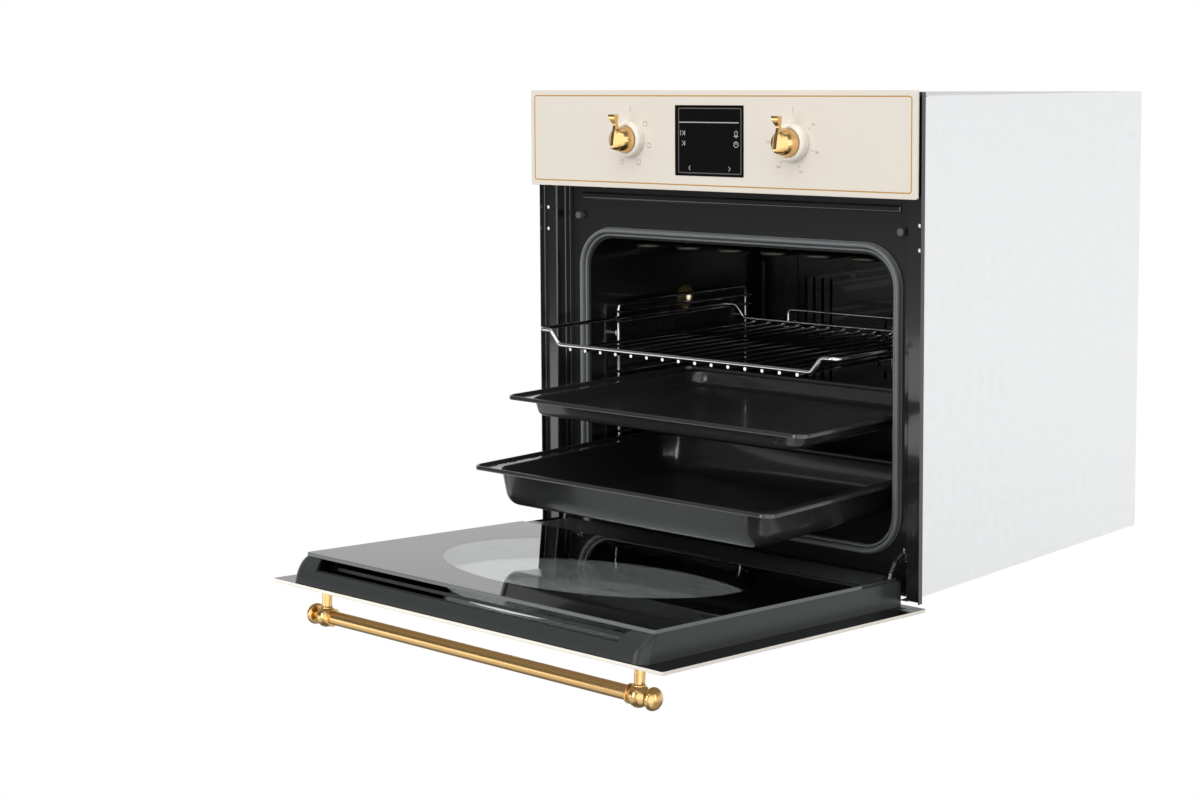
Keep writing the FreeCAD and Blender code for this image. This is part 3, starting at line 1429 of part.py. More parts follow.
def handle_post(label, side):
    """One handle post: a foot on the pane, a stem, a ball with sockets and a threaded tail."""
    r = S.ball_radius
    off = S.handle_off
    ball = primitive("Sphere", f"{label}_ball", {"Radius": r})
    stem = primitive("Cylinder", f"{label}_stem", {"Radius": S.post_radius, "Height": off}, way="Y")
    flange = S.post_foot
    foot = primitive("Cylinder", f"{label}_foot", {"Radius": S.post_radius + flange, "Height": flange},
                     (0.0, off - flange, 0.0), "Y")
    grip = S.pane_thick + S.tail_grip
    tail = primitive("Cylinder", f"{label}_tail", {"Radius": S.tail_radius, "Height": grip},
                     (0.0, off, 0.0), "Y")
    band = primitive("Torus", f"{label}_band", {"Radius1": r * 0.6, "Radius2": 1.4},
                     (r * 0.79 * side, 0.0, 0.0), "X")
    joined = doc.addObject("Part::MultiFuse", f"{label}_joined")
    joined.Shapes = [ball, stem, foot, tail, band]
    long = r * 2
    socket = S.bar_socket if side < 0 else -S.bar_socket - long
    bore = -S.cap_socket - long if side < 0 else S.cap_socket
    inward = primitive("Cylinder", f"{label}_socket", {"Radius": S.bar_radius, "Height": long},
                       (socket, 0.0, 0.0), "X")
    outward = primitive("Cylinder", f"{label}_bore", {"Radius": S.cap_stem, "Height": long},
                        (bore, 0.0, 0.0), "X")
    sockets = doc.addObject("Part::MultiFuse", f"{label}_sockets")
    sockets.Shapes = [inward, outward]
    made = doc.addObject("Part::Cut", label)
    made.Label = label
    made.Base = joined
    made.Tool = sockets
    place(made, on_door(side * handle_reach, bar_y, handle_z), True)
    NODES.append(made)


def handle_bar():
    """The round grip between the two posts."""
    b = body("handle_bar", on_door(0.0, bar_y, handle_z), True)
    half = handle_reach - S.bar_socket
    turn(b, "XY", "H_Axis", (-half, 0.0), (-half, S.bar_radius), (half, S.bar_radius), (half, 0.0))


def handle_caps():
    """The turned mushrooms that end the handle outside its two balls."""
    b = body("handle_caps", on_door(0.0, bar_y, handle_z), True)
    r = S.cap_radius
    stem = S.cap_stem
    root = handle_reach + S.cap_socket
    neck = handle_reach + S.ball_radius + S.cap_gap
    end = neck + S.cap_length
    for side in (-1, 1):
        turn(b, "XY", "H_Axis", (side * root, 0.0), (side * root, stem), (side * neck, stem),
             (side * neck, r), (side * end, r), (side * end, 0.0))
    soften(b, r * 0.55, lambda e: flat_at(e, "X", end) or flat_at(e, "X", -end))

    def back_rim(edge):
        at_neck = flat_at(edge, "X", neck) or flat_at(edge, "X", -neck)
        return at_neck and edge.BoundBox.YLength > 2 * r.value - 0.1

    soften(b, 2.5, back_rim)


def handle_nuts():
    """The nuts inside the door on the handle's threaded tails."""
    b = body("handle_nuts", hinge_at, True)
    r = S.nut_radius
    for side in (-1, 1):
        at = side * handle_reach
        corners = []
        for i in range(6):
            turned = math.radians(60 * i)
            corners.append((at + r * math.cos(turned), handle_z + r * math.sin(turned)))
        block(b, "XZ", pane_back, pane_back + S.nut_thick, loop(*corners), ring(at, handle_z, S.tail_radius))


def wire_shelf():
    """The chromed shelf: a bent frame that dips between its rails, the grid and the rear stop."""
    x = shelf_rail
    near_y = -S.shelf_front
    far_y = near_y + S.shelf_run
    z = shelf_z
    dip = z - S.shelf_drop
    r = S.rail_radius
    dipped = x - S.shelf_shoulder
    level = dipped + S.shelf_slope
    head = [(-x, near_y, z), (-level, near_y, z), (-dipped, near_y, dip),
            (dipped, near_y, dip), (level, near_y, z), (x, near_y, z)]
    tail = [(p[0], far_y, p[2]) for p in head]
    front_hoop = bar([(-x, far_y, z)] + head + [(x, far_y, z)], 8.0, r)
    under = dip - r - S.grid_radius
    rods = []
    for i in range(-7, 8):
        across = grid_pitch * i
        rods.append(rod((across, near_y - 1, under), (across, far_y + 1, under), S.grid_radius))
    shaped("shelf_grid", rods)
    rise = dip + S.stop_rise
    wide = S.stop_half
    stop = [(-wide, far_y, dip), (-wide, far_y, rise), (wide, far_y, rise), (wide, far_y, dip)]
    rear = bar(tail, 8.0, r).fuse(bar(stop, 6.0, S.grid_radius))
    shaped("shelf_frame", [front_hoop, rear])


def tray(label, level, near_y, depth, draft, bottom_round):
    """A drawn enamel tray: a drafted basin, a flat rim with slots along both sides and a raised bead."""
    b = body(label)
    t = S.tray_sheet
    half = tray_half
    top = level_low + S.level_pitch * level + S.guide_radius + S.run_gap + t
    far_y = near_y + S.tray_run
    inner = half - S.tray_rim
    head = near_y + S.tray_end
    tail = far_y - S.tray_end
    low = top - depth
    corner = S.basin_corner
    lean = math.degrees(math.atan2(draft.value, depth.value))
    block(b, "XY", low, top,
          round_box(draft - inner, head + draft, inner - draft, tail - draft, corner - draft), flare=lean)
    inset = draft + t
    scoop(b, low + t, top,
          round_box(inset - inner, head + inset, inner - inset, tail - inset, corner - inset), lean)
    soften(b, bottom_round - t, lambda e: flat_at(e, "Z", low + t))
    soften(b, bottom_round, lambda e: flat_at(e, "Z", low))
    rim = round_box(-half, near_y, half, far_y, S.tray_corner)
    block(b, "XY", top - t, top, rim, round_box(t - inner, head + t, inner - t, tail - t, corner - t))
    bead = S.bead_width
    crest = top + S.bead_height
    block(b, "XY", top - 0.2, crest, rim,
          round_box(bead - half, near_y + bead, half - bead, far_y - bead, S.tray_corner - bead))
    soften(b, bead * 0.32, lambda e: flat_at(e, "Z", crest))
    first = near_y + S.slot_start
    across = half - S.tray_rim * 0.45
    pair = [slot((across, first), (across, first + S.tray_slot), S.vent_radius),
            slot((-across, first), (-across, first + S.tray_slot), S.vent_radius)]
    span = S.tray_run - S.slot_start * 2 - S.tray_slot
    repeat(b, cut(b, "XY", top - t - 1, top + 1, *pair), "V_Axis", span, 8)


front_frame()
cavity()
cavity_gasket()
door_bumpers()
base_pan()
side_panel("left_side_panel", -1)
side_panel("right_side_panel", 1)
top_cover()
back_cover()
rear_screws()
insulation()
fascia_carrier()
fascia_panel()
display_glass()
display_module()
knob_bezel("left_knob_bezel", -1)
knob_bezel("right_knob_bezel", 1)
rotary_unit("function_switch", -1, S.switch_deep, S.switch_half)
rotary_unit("thermostat", 1, S.thermostat_deep, S.thermostat_half)
grill_element()
grill_clips()
bottom_element()
ring_element()
fan_baffle()
fan_motor()
lamp()
side_rack("left_side_rack", -1)
side_rack("right_side_rack", 1)
rack_studs()
hinge_levers()
hinge_receivers()
blower_housing()
blower_motor()
terminal_block()
temperature_probe()
door_outer_glass()
door_frame()
door_middle_glass()
glass_rails()
door_inner_glass()
hinge_cases()
hinge_pins()
handle_post("left_handle_post", -1)
handle_post("right_handle_post", 1)
handle_bar()
handle_caps()
handle_nuts()
knob("function_knob", -1)
spindle("function_spindle", -1)
knob("temperature_knob", 1)
spindle("temperature_spindle", 1)
fan_wheel()
blower_wheel()
wire_shelf()
tray("baking_tray", 3, -S.bake_front, S.bake_depth, S.bake_draft, S.bake_round)
tray("roasting_tray", 1, -S.roast_front, S.roast_depth, S.roast_draft, S.roast_round)
doc.recompute()

os.makedirs("parts", exist_ok=True)
faults = []
for thing in doc.Objects:
    if "Invalid" in thing.State or "Error" in thing.State:
        faults.append(f"{thing.Label} {thing.State}")
for node in NODES:
    if node.Shape.isNull() or not node.Shape.isValid() or not node.Shape.Solids:
        faults.append(f"{node.Label} has no sound shape")
if faults:
    raise ValueError("; ".join(faults))
for node in NODES:
    node.Shape.exportStep(f"parts/{node.Label}.step")
print(f"{len(NODES)} pieces written")
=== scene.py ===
import json
import math

import bpy
from bpy.props import FloatProperty, FloatVectorProperty, IntProperty, PointerProperty
from mathutils import Euler, Matrix, Vector


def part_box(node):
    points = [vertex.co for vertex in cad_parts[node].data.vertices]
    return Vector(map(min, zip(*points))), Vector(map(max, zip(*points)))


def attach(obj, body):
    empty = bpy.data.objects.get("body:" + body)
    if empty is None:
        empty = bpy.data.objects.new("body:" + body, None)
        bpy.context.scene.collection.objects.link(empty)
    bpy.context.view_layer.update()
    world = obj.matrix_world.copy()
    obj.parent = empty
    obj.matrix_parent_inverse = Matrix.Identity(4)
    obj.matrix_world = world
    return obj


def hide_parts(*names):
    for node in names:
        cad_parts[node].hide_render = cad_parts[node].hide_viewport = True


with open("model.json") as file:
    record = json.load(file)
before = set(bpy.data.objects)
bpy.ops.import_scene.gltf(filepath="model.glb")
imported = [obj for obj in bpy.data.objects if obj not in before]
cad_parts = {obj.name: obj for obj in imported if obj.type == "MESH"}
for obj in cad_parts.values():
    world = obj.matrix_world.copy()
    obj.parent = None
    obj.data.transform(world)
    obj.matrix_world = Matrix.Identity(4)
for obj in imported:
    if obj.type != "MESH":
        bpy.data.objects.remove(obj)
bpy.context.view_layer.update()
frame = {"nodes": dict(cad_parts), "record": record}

bl_info = {
    "name": "Built-in oven",
    "version": (1, 0, 0),
    "blender": (4, 5, 0),
    "location": "View3D > Sidebar > Oven",
    "description": "Dresses the construction of a built-in oven with finishes, trims and a studio",
    "category": "Object",
}

MM = 0.001
NEAR = 0.05 * MM  # heights closer than this count as one
PRINT_GAP = 0.02 * MM  # from a glass to the print on it

# The door as it stands open: a point on its hinge line, its angle, the way from its handle to its
# glass, and the turn that shuts it
HINGE = Vector((0.0, -0.008, 0.005))
DOOR_ANGLE = math.radians(86.45)
INWARD = Vector((0.0, math.cos(DOOR_ANGLE), math.sin(DOOR_ANGLE)))
SHUT = Matrix.Rotation(-DOOR_ANGLE, 3, "X")

# The clear oval of the door's panes, its middle counted from the hinge line
OVAL_HALF_WIDTH = 200 * MM
OVAL_HALF_HEIGHT = 155 * MM
OVAL_MIDDLE = 222 * MM
CREAM_DEPTH = -10.2 * MM  # the front pane is cream ahead of this depth
EDGE_SKIN = 0.03 * MM  # what a pane's ground edge leaves to its faces

# The photograph's camera: place, focal length and lens axis, the last two in its pixels
PHOTO_SIZE = (1200, 800)
CAMERA_AT = (1.59238, -1.99081, 0.60437)
FOCAL_PIXELS = 2090.41
AXIS_PIXELS = (599.49, 263.59)
SENSOR_WIDTH = 36.0


def linear(code):
    """An sRGB hex code as linear red, green and blue, with a full alpha."""
    parts = [int(code[i:i + 2], 16) / 255 for i in (1, 3, 5)]
    return *(c / 12.92 if c <= 0.04045 else ((c + 0.055) / 1.055) ** 2.4 for c in parts), 1.0


def ColourProperty(name, code, description):
    """A colour that starts from an sRGB hex code."""
    return FloatVectorProperty(name=name, description=description, size=4, subtype="COLOR",
                               default=linear(code))


def LengthProperty(name, size, description):
    """A length that starts from a size in metres."""
    return FloatProperty(name=name, description=description, unit="LENGTH", default=size)


class OvenColours(bpy.types.PropertyGroup):
    """The colours that give the oven its style."""
    cream: ColourProperty("Cream", "#E3DBCF", "Paint behind the control panel's glass")
    gold: ColourProperty("Gold", "#E0B87C", "Metal of the handle and the knobs")
    line: ColourProperty("Gold line", "#BB8B32", "Print along the control panel's edge")
    ink: ColourProperty("Ink", "#9A8C7C", "Print of the signs round the dials")
    enamel: ColourProperty("Enamel", "#191A1A", "Fired coat of the front frame")
    tray: ColourProperty("Tray", "#2A2B2B", "Fired coat of both trays")


class OvenTrims(bpy.types.PropertyGroup):
    """Sizes of the trims and signs on the control panel."""
    line_inset: LengthProperty("Line inset", 6.3 * MM, "From the panel's edge to the gold line")
    line_width: LengthProperty("Line width", 1.5 * MM, "Breadth of the gold line")
    line_radius: LengthProperty("Line corner", 4.0 * MM, "Corner radius of the gold line")
    print_height: LengthProperty("Print height", 0.04 * MM, "How far a print stands off the glass")
    icon_size: LengthProperty("Icon size", 6.5 * MM, "Side of one cooking sign")
    icon_reach: LengthProperty("Icon reach", 31.5 * MM, "From the dial's axis to a cooking sign")
    digit_size: LengthProperty("Digit size", 4.2 * MM, "Height of the temperature numbers")


class OvenForms(bpy.types.PropertyGroup):
    """Fineness and shape of the turned and drawn pieces."""
    turn_steps: IntProperty(name="Turn steps", default=72,
                            description="Steps round a turned piece")
    crest: LengthProperty("Lever proud", 8.2 * MM, "How far the lever's crest stands off the drum")
    corner_steps: IntProperty(name="Corner steps", default=10,
                              description="Steps in the round corner of a tray or seal")


class OvenStudio(bpy.types.PropertyGroup):
    """The floor, the lamps and the surroundings."""
    floor_drop: LengthProperty("Floor drop", 0.75, "From the oven's underside to the floor")
    fill: FloatProperty(name="Fill", default=1.12,
                        description="Brightness of the surroundings on matt surfaces")
    fill_below: FloatProperty(name="Fill below", default=0.35,
                              description="The same from below the horizon")
    lamps: FloatProperty(name="Lamps", default=1.0,
                         description="Brightness of the lamps, as a share of their own")
    view_angles: FloatVectorProperty(name="View", size=3, subtype="EULER",
                                     description="Yaw, pitch and roll of the camera",
                                     default=[math.radians(a) for a in (41.98, 5.12, -0.37)])


def add_node(tree, kind, settings=None, **links):
    """Adds one shader node, sets its properties and inputs, and links named or numbered inputs.

    A link comes from an output, or from a node and then from its first output.
    """
    node = tree.nodes.new("ShaderNode" + kind)
    for key, value in (settings or {}).items():
        if isinstance(key, int) or key in node.inputs:
            node.inputs[key].default_value = value
        else:
            setattr(node, key, value)
    for key, source in links.items():
        output = source.outputs[0] if isinstance(source, bpy.types.Node) else source
        tree.links.new(output, node.inputs[int(key[1:]) if key[1:].isdigit() else key])
    return node


def middle(node):
    """The middle of a node's box."""
    low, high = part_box(node)
    return (low + high) / 2


def new_material(name, colour, roughness, metallic=0.0, **more):
    """A material with one principled shader: the material, its tree and the shader."""
    made = bpy.data.materials.new(name)
    made.use_nodes = True
    tree = made.node_tree
    shader = tree.nodes["Principled BSDF"]
    more.update(Base_Color=colour, Roughness=roughness, Metallic=metallic)
    for key, value in more.items():
        shader.inputs[key.replace("_", " ")].default_value = value
    return made, tree, shader


def grains(tree, size, stretch=(1.0, 1.0, 1.0), detail=2.0):
    """Random grains over the object's own coordinates, as large as the given millimetres."""
    where = add_node(tree, "TexCoord")
    scaled = add_node(tree, "Mapping", {"Scale": [1.0 / (size * MM * s) for s in stretch]},
                      Vector=where.outputs["Object"])
    return add_node(tree, "TexNoise", {"Scale": 1.0, "Detail": detail}, Vector=scaled)


def relief(tree, shader, size, height, **pattern):
    """A fine relief whose grains have the given size and height in millimetres."""
    made = grains(tree, size, **pattern)
    bump = add_node(tree, "Bump", {"Strength": 1.0, "Distance": height * MM}, Height=made)
    tree.links.new(bump.outputs[0], shader.inputs["Normal"])
    return made


def mottle(tree, shader, pattern, roughness):
    """Lets grains, most of which lie between 0.3 and 0.7, vary the roughness by 15 % each way."""
    spread = add_node(tree, "MapRange",
                      {"From Min": 0.3, "From Max": 0.7, "To Min": roughness * 0.85,
                       "To Max": roughness * 1.15}, Value=pattern)
    tree.links.new(spread.outputs[0], shader.inputs["Roughness"])


def two_tone(tree, socket, share, first, second):
    """Colours a socket from the first colour to the second, as far as the share says."""
    tint = add_node(tree, "Mix", {"data_type": "RGBA", 6: linear(first), 7: linear(second)},
                    i0=share)
    tree.links.new(tint.outputs[2], socket)


def door_place(tree):
    """Coordinates counted from the hinge line of the shut door."""
    where = add_node(tree, "TexCoord")
    turned = add_node(tree, "Mapping",
                      {"Location": -(SHUT @ HINGE), "Rotation": (-DOOR_ANGLE, 0.0, 0.0)},
                      Vector=where.outputs["Object"])
    return add_node(tree, "SeparateXYZ", None, Vector=turned)


def window_mask(tree, place):
    """1 inside the oval clear window of a door pane, 0 in its printed border."""
    x, z = place.outputs["X"], place.outputs["Z"]
    across = add_node(tree, "Math", {"operation": "DIVIDE", 1: OVAL_HALF_WIDTH}, i0=x)
    lifted = add_node(tree, "Math", {"operation": "SUBTRACT", 1: OVAL_MIDDLE}, i0=z)
    upward = add_node(tree, "Math", {"operation": "DIVIDE", 1: OVAL_HALF_HEIGHT}, i0=lifted)
    reach = add_node(tree, "Math", {"operation": "POWER", 1: 2.0}, i0=across)
    both = add_node(tree, "Math", {"operation": "MULTIPLY_ADD"}, i0=upward, i1=upward, i2=reach)
    return add_node(tree, "Math", {"operation": "LESS_THAN", 1: 1.0}, i0=both)


def pane_edge(tree, place, node):
    """1 on the narrow ground edge of a door pane, 0 on its two faces."""
    depths = [(SHUT @ (point.co - HINGE)).y for point in frame["nodes"][node].data.vertices]
    half = (max(depths) - min(depths)) / 2
    return add_node(tree, "Math",
                    {"operation": "COMPARE", 1: min(depths) + half, 2: half - EDGE_SKIN},
                    i0=place.outputs["Y"])


def open_window(tree, shader, place):
    """Swaps the printed pane for clear glass inside the oval window."""
    clear = add_node(tree, "BsdfGlass",
                     {"Color": linear("#F6F7F7"), "Roughness": 0.0, "IOR": 1.5})
    chosen = add_node(tree, "MixShader", None, i0=window_mask(tree, place), i1=shader, i2=clear)
    tree.links.new(chosen.outputs[0], tree.nodes["Material Output"].inputs["Surface"])


def cream_glass(colour):
    """Back-painted glass: a flat warm cream under a clear, sharply reflecting surface."""
    return new_material("cream back-painted glass", colour, 0.4,
                        Coat_Weight=0.6, Coat_Roughness=0.04)[0]


def door_pane():
    """The door's front pane: cream outside, black print inside and an oval left clear."""
    black, cream = "#060606", "#E6E0D4"
    made, tree, shader = new_material("cream door pane", linear(cream), 0.1, IOR=1.52)
    place = door_place(tree)
    outside = add_node(tree, "Math", {"operation": "LESS_THAN", 1: CREAM_DEPTH},
                       i0=place.outputs["Y"])
    two_tone(tree, shader.inputs["Base Color"], outside, black, cream)
    open_window(tree, shader, place)
    return made


def printed_pane(name, node):
    """Float glass with a black printed border: mirror-like, grey on its ground edge, clear oval."""
    black, ground = "#050505", "#5E6262"
    polished, dull = 0.015, 0.3
    made, tree, shader = new_material(name, linear(black), polished, IOR=1.52)
    place = door_place(tree)
    edge = pane_edge(tree, place, node)
    two_tone(tree, shader.inputs["Base Color"], edge, black, ground)
    grade = add_node(tree, "MapRange", {"To Min": polished, "To Max": dull}, Value=edge)
    tree.links.new(grade.outputs[0], shader.inputs["Roughness"])
    open_window(tree, shader, place)
    return made


def display_pane():
    """Smoked display glass: black with a crisp reflection."""
    return new_material("smoked display glass", linear("#050505"), 0.03)[0]


def enamel(name, colour, roughness, gloss=0.5, shine=0.5):
    """Vitreous enamel: nearly black, glassy, with the faint waviness of a fired coat."""
    made, tree, shader = new_material(name, colour, roughness, Coat_Weight=gloss,
                                      Coat_Roughness=0.06, Specular_IOR_Level=shine)
    relief(tree, shader, size=9.0, height=0.012)
    return made


def gold(name, colour, roughness, along=None):
    """Satin gold: warm metal with soft highlights, and fine lines where it was brushed lengthwise.

    The brushed lines are drawn half a millimetre wide, coarser than they are, so that they show.
    """
    made, tree, shader = new_material(name, colour, roughness, 1.0)
    if along:
        mottle(tree, shader, grains(tree, 0.5, along), roughness)
    return made


def plain_metal(name, code, roughness, grain):
    """Bare or plated metal: bright, with a slight unevenness that breaks up its reflections."""
    made, tree, shader = new_material(name, linear(code), roughness, 1.0)
    mottle(tree, shader, relief(tree, shader, *grain), roughness)
    return made


def moulded(name, code, roughness, grain):
    """Moulded plastic or rubber: even colour under a matt grain, drawn coarse enough to show."""
    made, tree, shader = new_material(name, linear(code), roughness)
    relief(tree, shader, *grain)
    return made


def wool():
    """Mineral wool: a matt, fibrous buff mat with darker strands."""
    made, tree, shader = new_material("mineral wool mat", linear("#B3A27C"), 0.95)
    strands = relief(tree, shader, size=2.0, height=1.2, stretch=(1.0, 6.0, 1.0), detail=6.0)
    two_tone(tree, shader.inputs["Base Color"], strands, "#8E7E5A", "#CDBF9C")
    return made


def lamp_glass_painted_glint(name, node, glint_size, level):
    """Lamp glass: a dim bronze dome with a painted glint, a small bright glowing spot at its
    middle.
    """
    made, tree, shader = new_material(name, linear("#3A3124"), 0.18, Emission_Strength=level)
    centre = middle(node)
    where = add_node(tree, "TexCoord")
    flat = add_node(tree, "Mapping", {"Scale": (0.0, 1.0, 1.0)}, Vector=where.outputs["Object"])
    away = add_node(tree, "VectorMath", {"operation": "DISTANCE", 1: (0.0, centre.y, centre.z)},
                    i0=flat)
    # Painted glint: emission only in a small spot round the middle, standing in for the lamp's
    # highlight
    painted_glint = add_node(tree, "MapRange",
                    {"From Min": glint_size * 0.5 * MM, "From Max": glint_size * 1.5 * MM,
                     "To Min": 1.0, "To Max": 0.0}, Value=away.outputs["Value"])
    two_tone(tree, shader.inputs["Emission Color"], painted_glint, "#1E160C", "#FFF2D0")
    return made


def let_go():
    """Back to object mode, with no piece selected."""
    if bpy.context.mode != "OBJECT":
        bpy.ops.object.mode_set(mode="OBJECT")
    bpy.ops.object.select_all(action="DESELECT")


def begin(name, upright=False):
    """A new plane in edit mode, lying flat or standing to face the front."""
    let_go()
    tilt = math.pi / 2 if upright else 0.0
    bpy.ops.mesh.primitive_plane_add(size=1.0, rotation=(tilt, 0.0, 0.0))
    made = bpy.context.object
    made.name = made.data.name = name
    bpy.ops.object.transform_apply()
    bpy.ops.object.mode_set(mode="EDIT")
    bpy.ops.mesh.select_all(action="SELECT")
    return made


def outline(low, high, radius, steps):
    """Fits the selected plane between two corners and rounds its corners."""
    span = high - low
    bpy.ops.transform.resize(value=[s if s > 0 else 1.0 for s in span], center_override=(0, 0, 0))
    bpy.ops.transform.translate(value=(low + high) / 2)
    bpy.ops.mesh.bevel(offset=radius, segments=steps, affect="VERTICES")


def step_in(*steps):
    """Draws the selected face inward and along its normal, step by step in millimetres."""
    for inward, along in steps:
        bpy.ops.mesh.inset(thickness=inward * MM, depth=along * MM)


def pick(made, test, kind="FACE"):
    """Selects the faces whose middle passes a test, or the edges whose ends do."""
    bpy.ops.mesh.select_mode(type=kind)
    bpy.ops.mesh.select_all(action="DESELECT")
    bpy.ops.object.mode_set(mode="OBJECT")
    mesh = made.data
    if kind == "FACE":
        for face in mesh.polygons:
            face.select = test(face.center)
    else:
        for edge in mesh.edges:
            edge.select = all(test(mesh.vertices[i].co) for i in edge.vertices)
    bpy.ops.object.mode_set(mode="EDIT")


def one_point(name, at):
    """A new piece that starts as one point in edit mode."""
    made = begin(name)
    bpy.ops.mesh.merge(type="CENTER")
    bpy.ops.transform.translate(value=at)
    return made


def draw_on(points):
    """Draws the selected point out along the next points of a line."""
    for a, b in zip(points, points[1:]):
        bpy.ops.mesh.extrude_vertices_move(TRANSFORM_OT_translate={"value": b - a})


def tidy():
    """Merges double points and turns every face outward."""
    bpy.ops.mesh.select_all(action="SELECT")
    bpy.ops.mesh.remove_doubles(threshold=0.005 * MM)
    bpy.ops.mesh.normals_make_consistent()


def lathe(name, at, axis, profile, steps):
    """A turned piece: its half outline in millimetres, drawn along the axis and spun about it."""
    axis = Vector(axis).normalized()
    out = axis.orthogonal().normalized()
    points = [at + axis * (along * MM) + out * (radius * MM) for along, radius in profile]
    made = one_point(name, points[0])
    draw_on(points)
    bpy.ops.mesh.select_all(action="SELECT")
    bpy.ops.mesh.spin(steps=steps, angle=2 * math.pi, center=at, axis=axis)
    tidy()
    return made


def mark(made, wanted):
    """Selects the points of these numbers and the edges between them, and no face."""
    bpy.ops.object.mode_set(mode="OBJECT")
    for i, point in enumerate(made.data.vertices):
        point.select = i in wanted
    for edge in made.data.edges:
        edge.select = all(i in wanted for i in edge.vertices)
    for face in made.data.polygons:
        face.select = False
    bpy.ops.object.mode_set(mode="EDIT")


def skin(name, rings):
    """A piece stretched over closed rings of points, with both ends filled."""
    made = one_point(name, rings[0][0])
    count = len(rings[0])
    for i, points in enumerate(rings):
        if i:
            onward = points[0] - rings[i - 1][-1]
            bpy.ops.mesh.duplicate_move(TRANSFORM_OT_translate={"value": onward})
        draw_on(points)
    for i in range(len(rings)):
        mark(made, (i * count, i * count + count - 1))
        bpy.ops.mesh.edge_face_add()
    for i in range(len(rings) - 1):
        mark(made, range(i * count, (i + 2) * count))
        bpy.ops.mesh.bridge_edge_loops()
    for i in (0, len(rings) - 1):
        mark(made, range(i * count, (i + 1) * count))
        bpy.ops.mesh.edge_face_add()
    tidy()
    return made


def take(*pieces):
    """Selects these pieces alone, in object mode and with the first of them active."""
    let_go()
    for piece in pieces:
        piece.select_set(True)
    bpy.context.view_layer.objects.active = pieces[0]


def joined(name, *pieces):
    """Several modelled pieces as one object."""
    take(*pieces)
    if len(pieces) > 1:
        bpy.ops.object.join()
    made = bpy.context.object
    made.name = made.data.name = name
    return made


def finish(made, look, body, nodes=(), angle=35.0):
    """Smooths the piece, gives it its finish, ties it to its body and hides the nodes it replaces.
    """
    take(made)
    bpy.ops.object.shade_smooth_by_angle(angle=math.radians(angle))
    made.data.materials.clear()
    made.data.materials.append(look)
    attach(made, body)
    if nodes:
        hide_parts(*nodes)


class OVEN_OT_finishes(bpy.types.Operator):
    """Give every carried-over piece its finish"""
    bl_idname = "oven.finishes"
    bl_label = "Finishes"

    def execute(self, context):
        colours = context.scene.oven_colours
        # Metals and mouldings: colour, roughness, then the grain's size and height in millimetres
        looks = {
            "cream_glass": cream_glass(colours.cream),
            "cream_plastic": moulded("cream moulded ring", "#F3EDE0", 0.32, (0.6, 0.003)),
            "display_glass": display_pane(),
            "dark_glass": printed_pane("black-printed float glass", "door_middle_glass"),
            # The lamp's lens and bulb carry a painted glint, a glowing spot at their middle
            "clear_glass": lamp_glass_painted_glint("bronze lamp lens with painted glint", "lamp_lens", glint_size=4.0, level=1.0),
            "black_enamel": enamel("black vitreous enamel", colours.enamel, 0.2),
            "brushed_gold": gold("brushed gold", colours.gold, 0.26, along=(40.0, 1.0, 1.0)),
            "chrome_wire": plain_metal("bright chromed wire", "#DADBDD", 0.1, (4.0, 0.004)),
            "zinc_steel": plain_metal("zinc-coated sheet steel", "#F2F3F4", 0.36, (12.0, 0.01)),
            "bright_steel": plain_metal("bright zinc-plated steel", "#C8C9CA", 0.26, (3.0, 0.006)),
            "heater_steel": plain_metal("fired heater sheath", "#4A4641", 0.45, (2.0, 0.02)),
            "seal_rubber": moulded("grey seal rubber", "#5A5C5C", 0.55, (0.8, 0.01)),
            "mineral_wool": wool(),
            "black_plastic": moulded("black moulded plastic", "#17181A", 0.45, (0.7, 0.008)),
            "motor_steel": plain_metal("lacquered motor steel", "#66686A", 0.42, (3.0, 0.01)),
            "white_ceramic": moulded("glazed white ceramic", "#EAE6DC", 0.22, (5.0, 0.004)),
        }
        single = {
            "door_outer_glass": door_pane(),
            "door_inner_glass": printed_pane("black-printed inner pane", "door_inner_glass"),
            "lamp_bulb": lamp_glass_painted_glint("bulb glass with painted glint", "lamp_bulb", glint_size=5.0, level=0.8),
            "cavity": enamel("grey-black chamber enamel", linear("#1E1F1F"), 0.24),
            "door_frame": enamel("door shell enamel", linear("#333535"), 0.28, 0.0, shine=0.28),
        }
        for part in frame["record"]["subparts"]:
            node = frame["nodes"][part["node"]]
            node.data.materials.clear()
            node.data.materials.append(single.get(part["node"], looks[part["material_slot"]]))
        return {"FINISHED"}


class OVEN_OT_gold_line(bpy.types.Operator):
    """Lay the gold line along the edge of the control panel"""
    bl_idname = "oven.gold_line"
    bl_label = "Gold line"

    def execute(self, context):
        trims = context.scene.oven_trims
        low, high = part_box("fascia_panel")
        size = (high - low - 2 * Vector.Fill(3, trims.line_inset)) / MM
        line = hoop(on_panel("fascia_panel"), size.x, size.z, trims.line_width / MM,
                    trims.line_radius / MM, steps=8)
        # Bronze print: a flat, dull gold without the sparkle of metal
        look = new_material("gold print", context.scene.oven_colours.line, 0.4)[0]
        printed("fascia_gold_line", [line], look, trims.print_height)
        return {"FINISHED"}


def on_panel(node):
    """The middle of a node, brought to the printed face of the control panel."""
    centre = middle(node)
    centre.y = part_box("fascia_panel")[0].y - PRINT_GAP
    return centre


def stroke(at, wide, tall, turn=0.0):
    """One printed stroke on an upright face: its middle, breadth, length and turn from upright."""
    let_go()
    bpy.ops.mesh.primitive_plane_add(size=1.0, location=at, rotation=(math.pi / 2, turn, 0.0))
    made = bpy.context.object
    made.scale = (wide * MM, tall * MM, 1.0)
    bpy.ops.object.transform_apply()
    return made


def hoop(at, wide, tall, line, radius, steps=6):
    """One printed outline with round corners, about a middle on an upright face."""
    made = begin("hoop", upright=True)
    half = Vector((wide, 0.0, tall)) * (MM / 2)
    outline(at - half, at + half, radius * MM, steps)
    bpy.ops.mesh.inset(thickness=line * MM)
    bpy.ops.mesh.delete(type="FACE")
    bpy.ops.object.mode_set(mode="OBJECT")
    return made


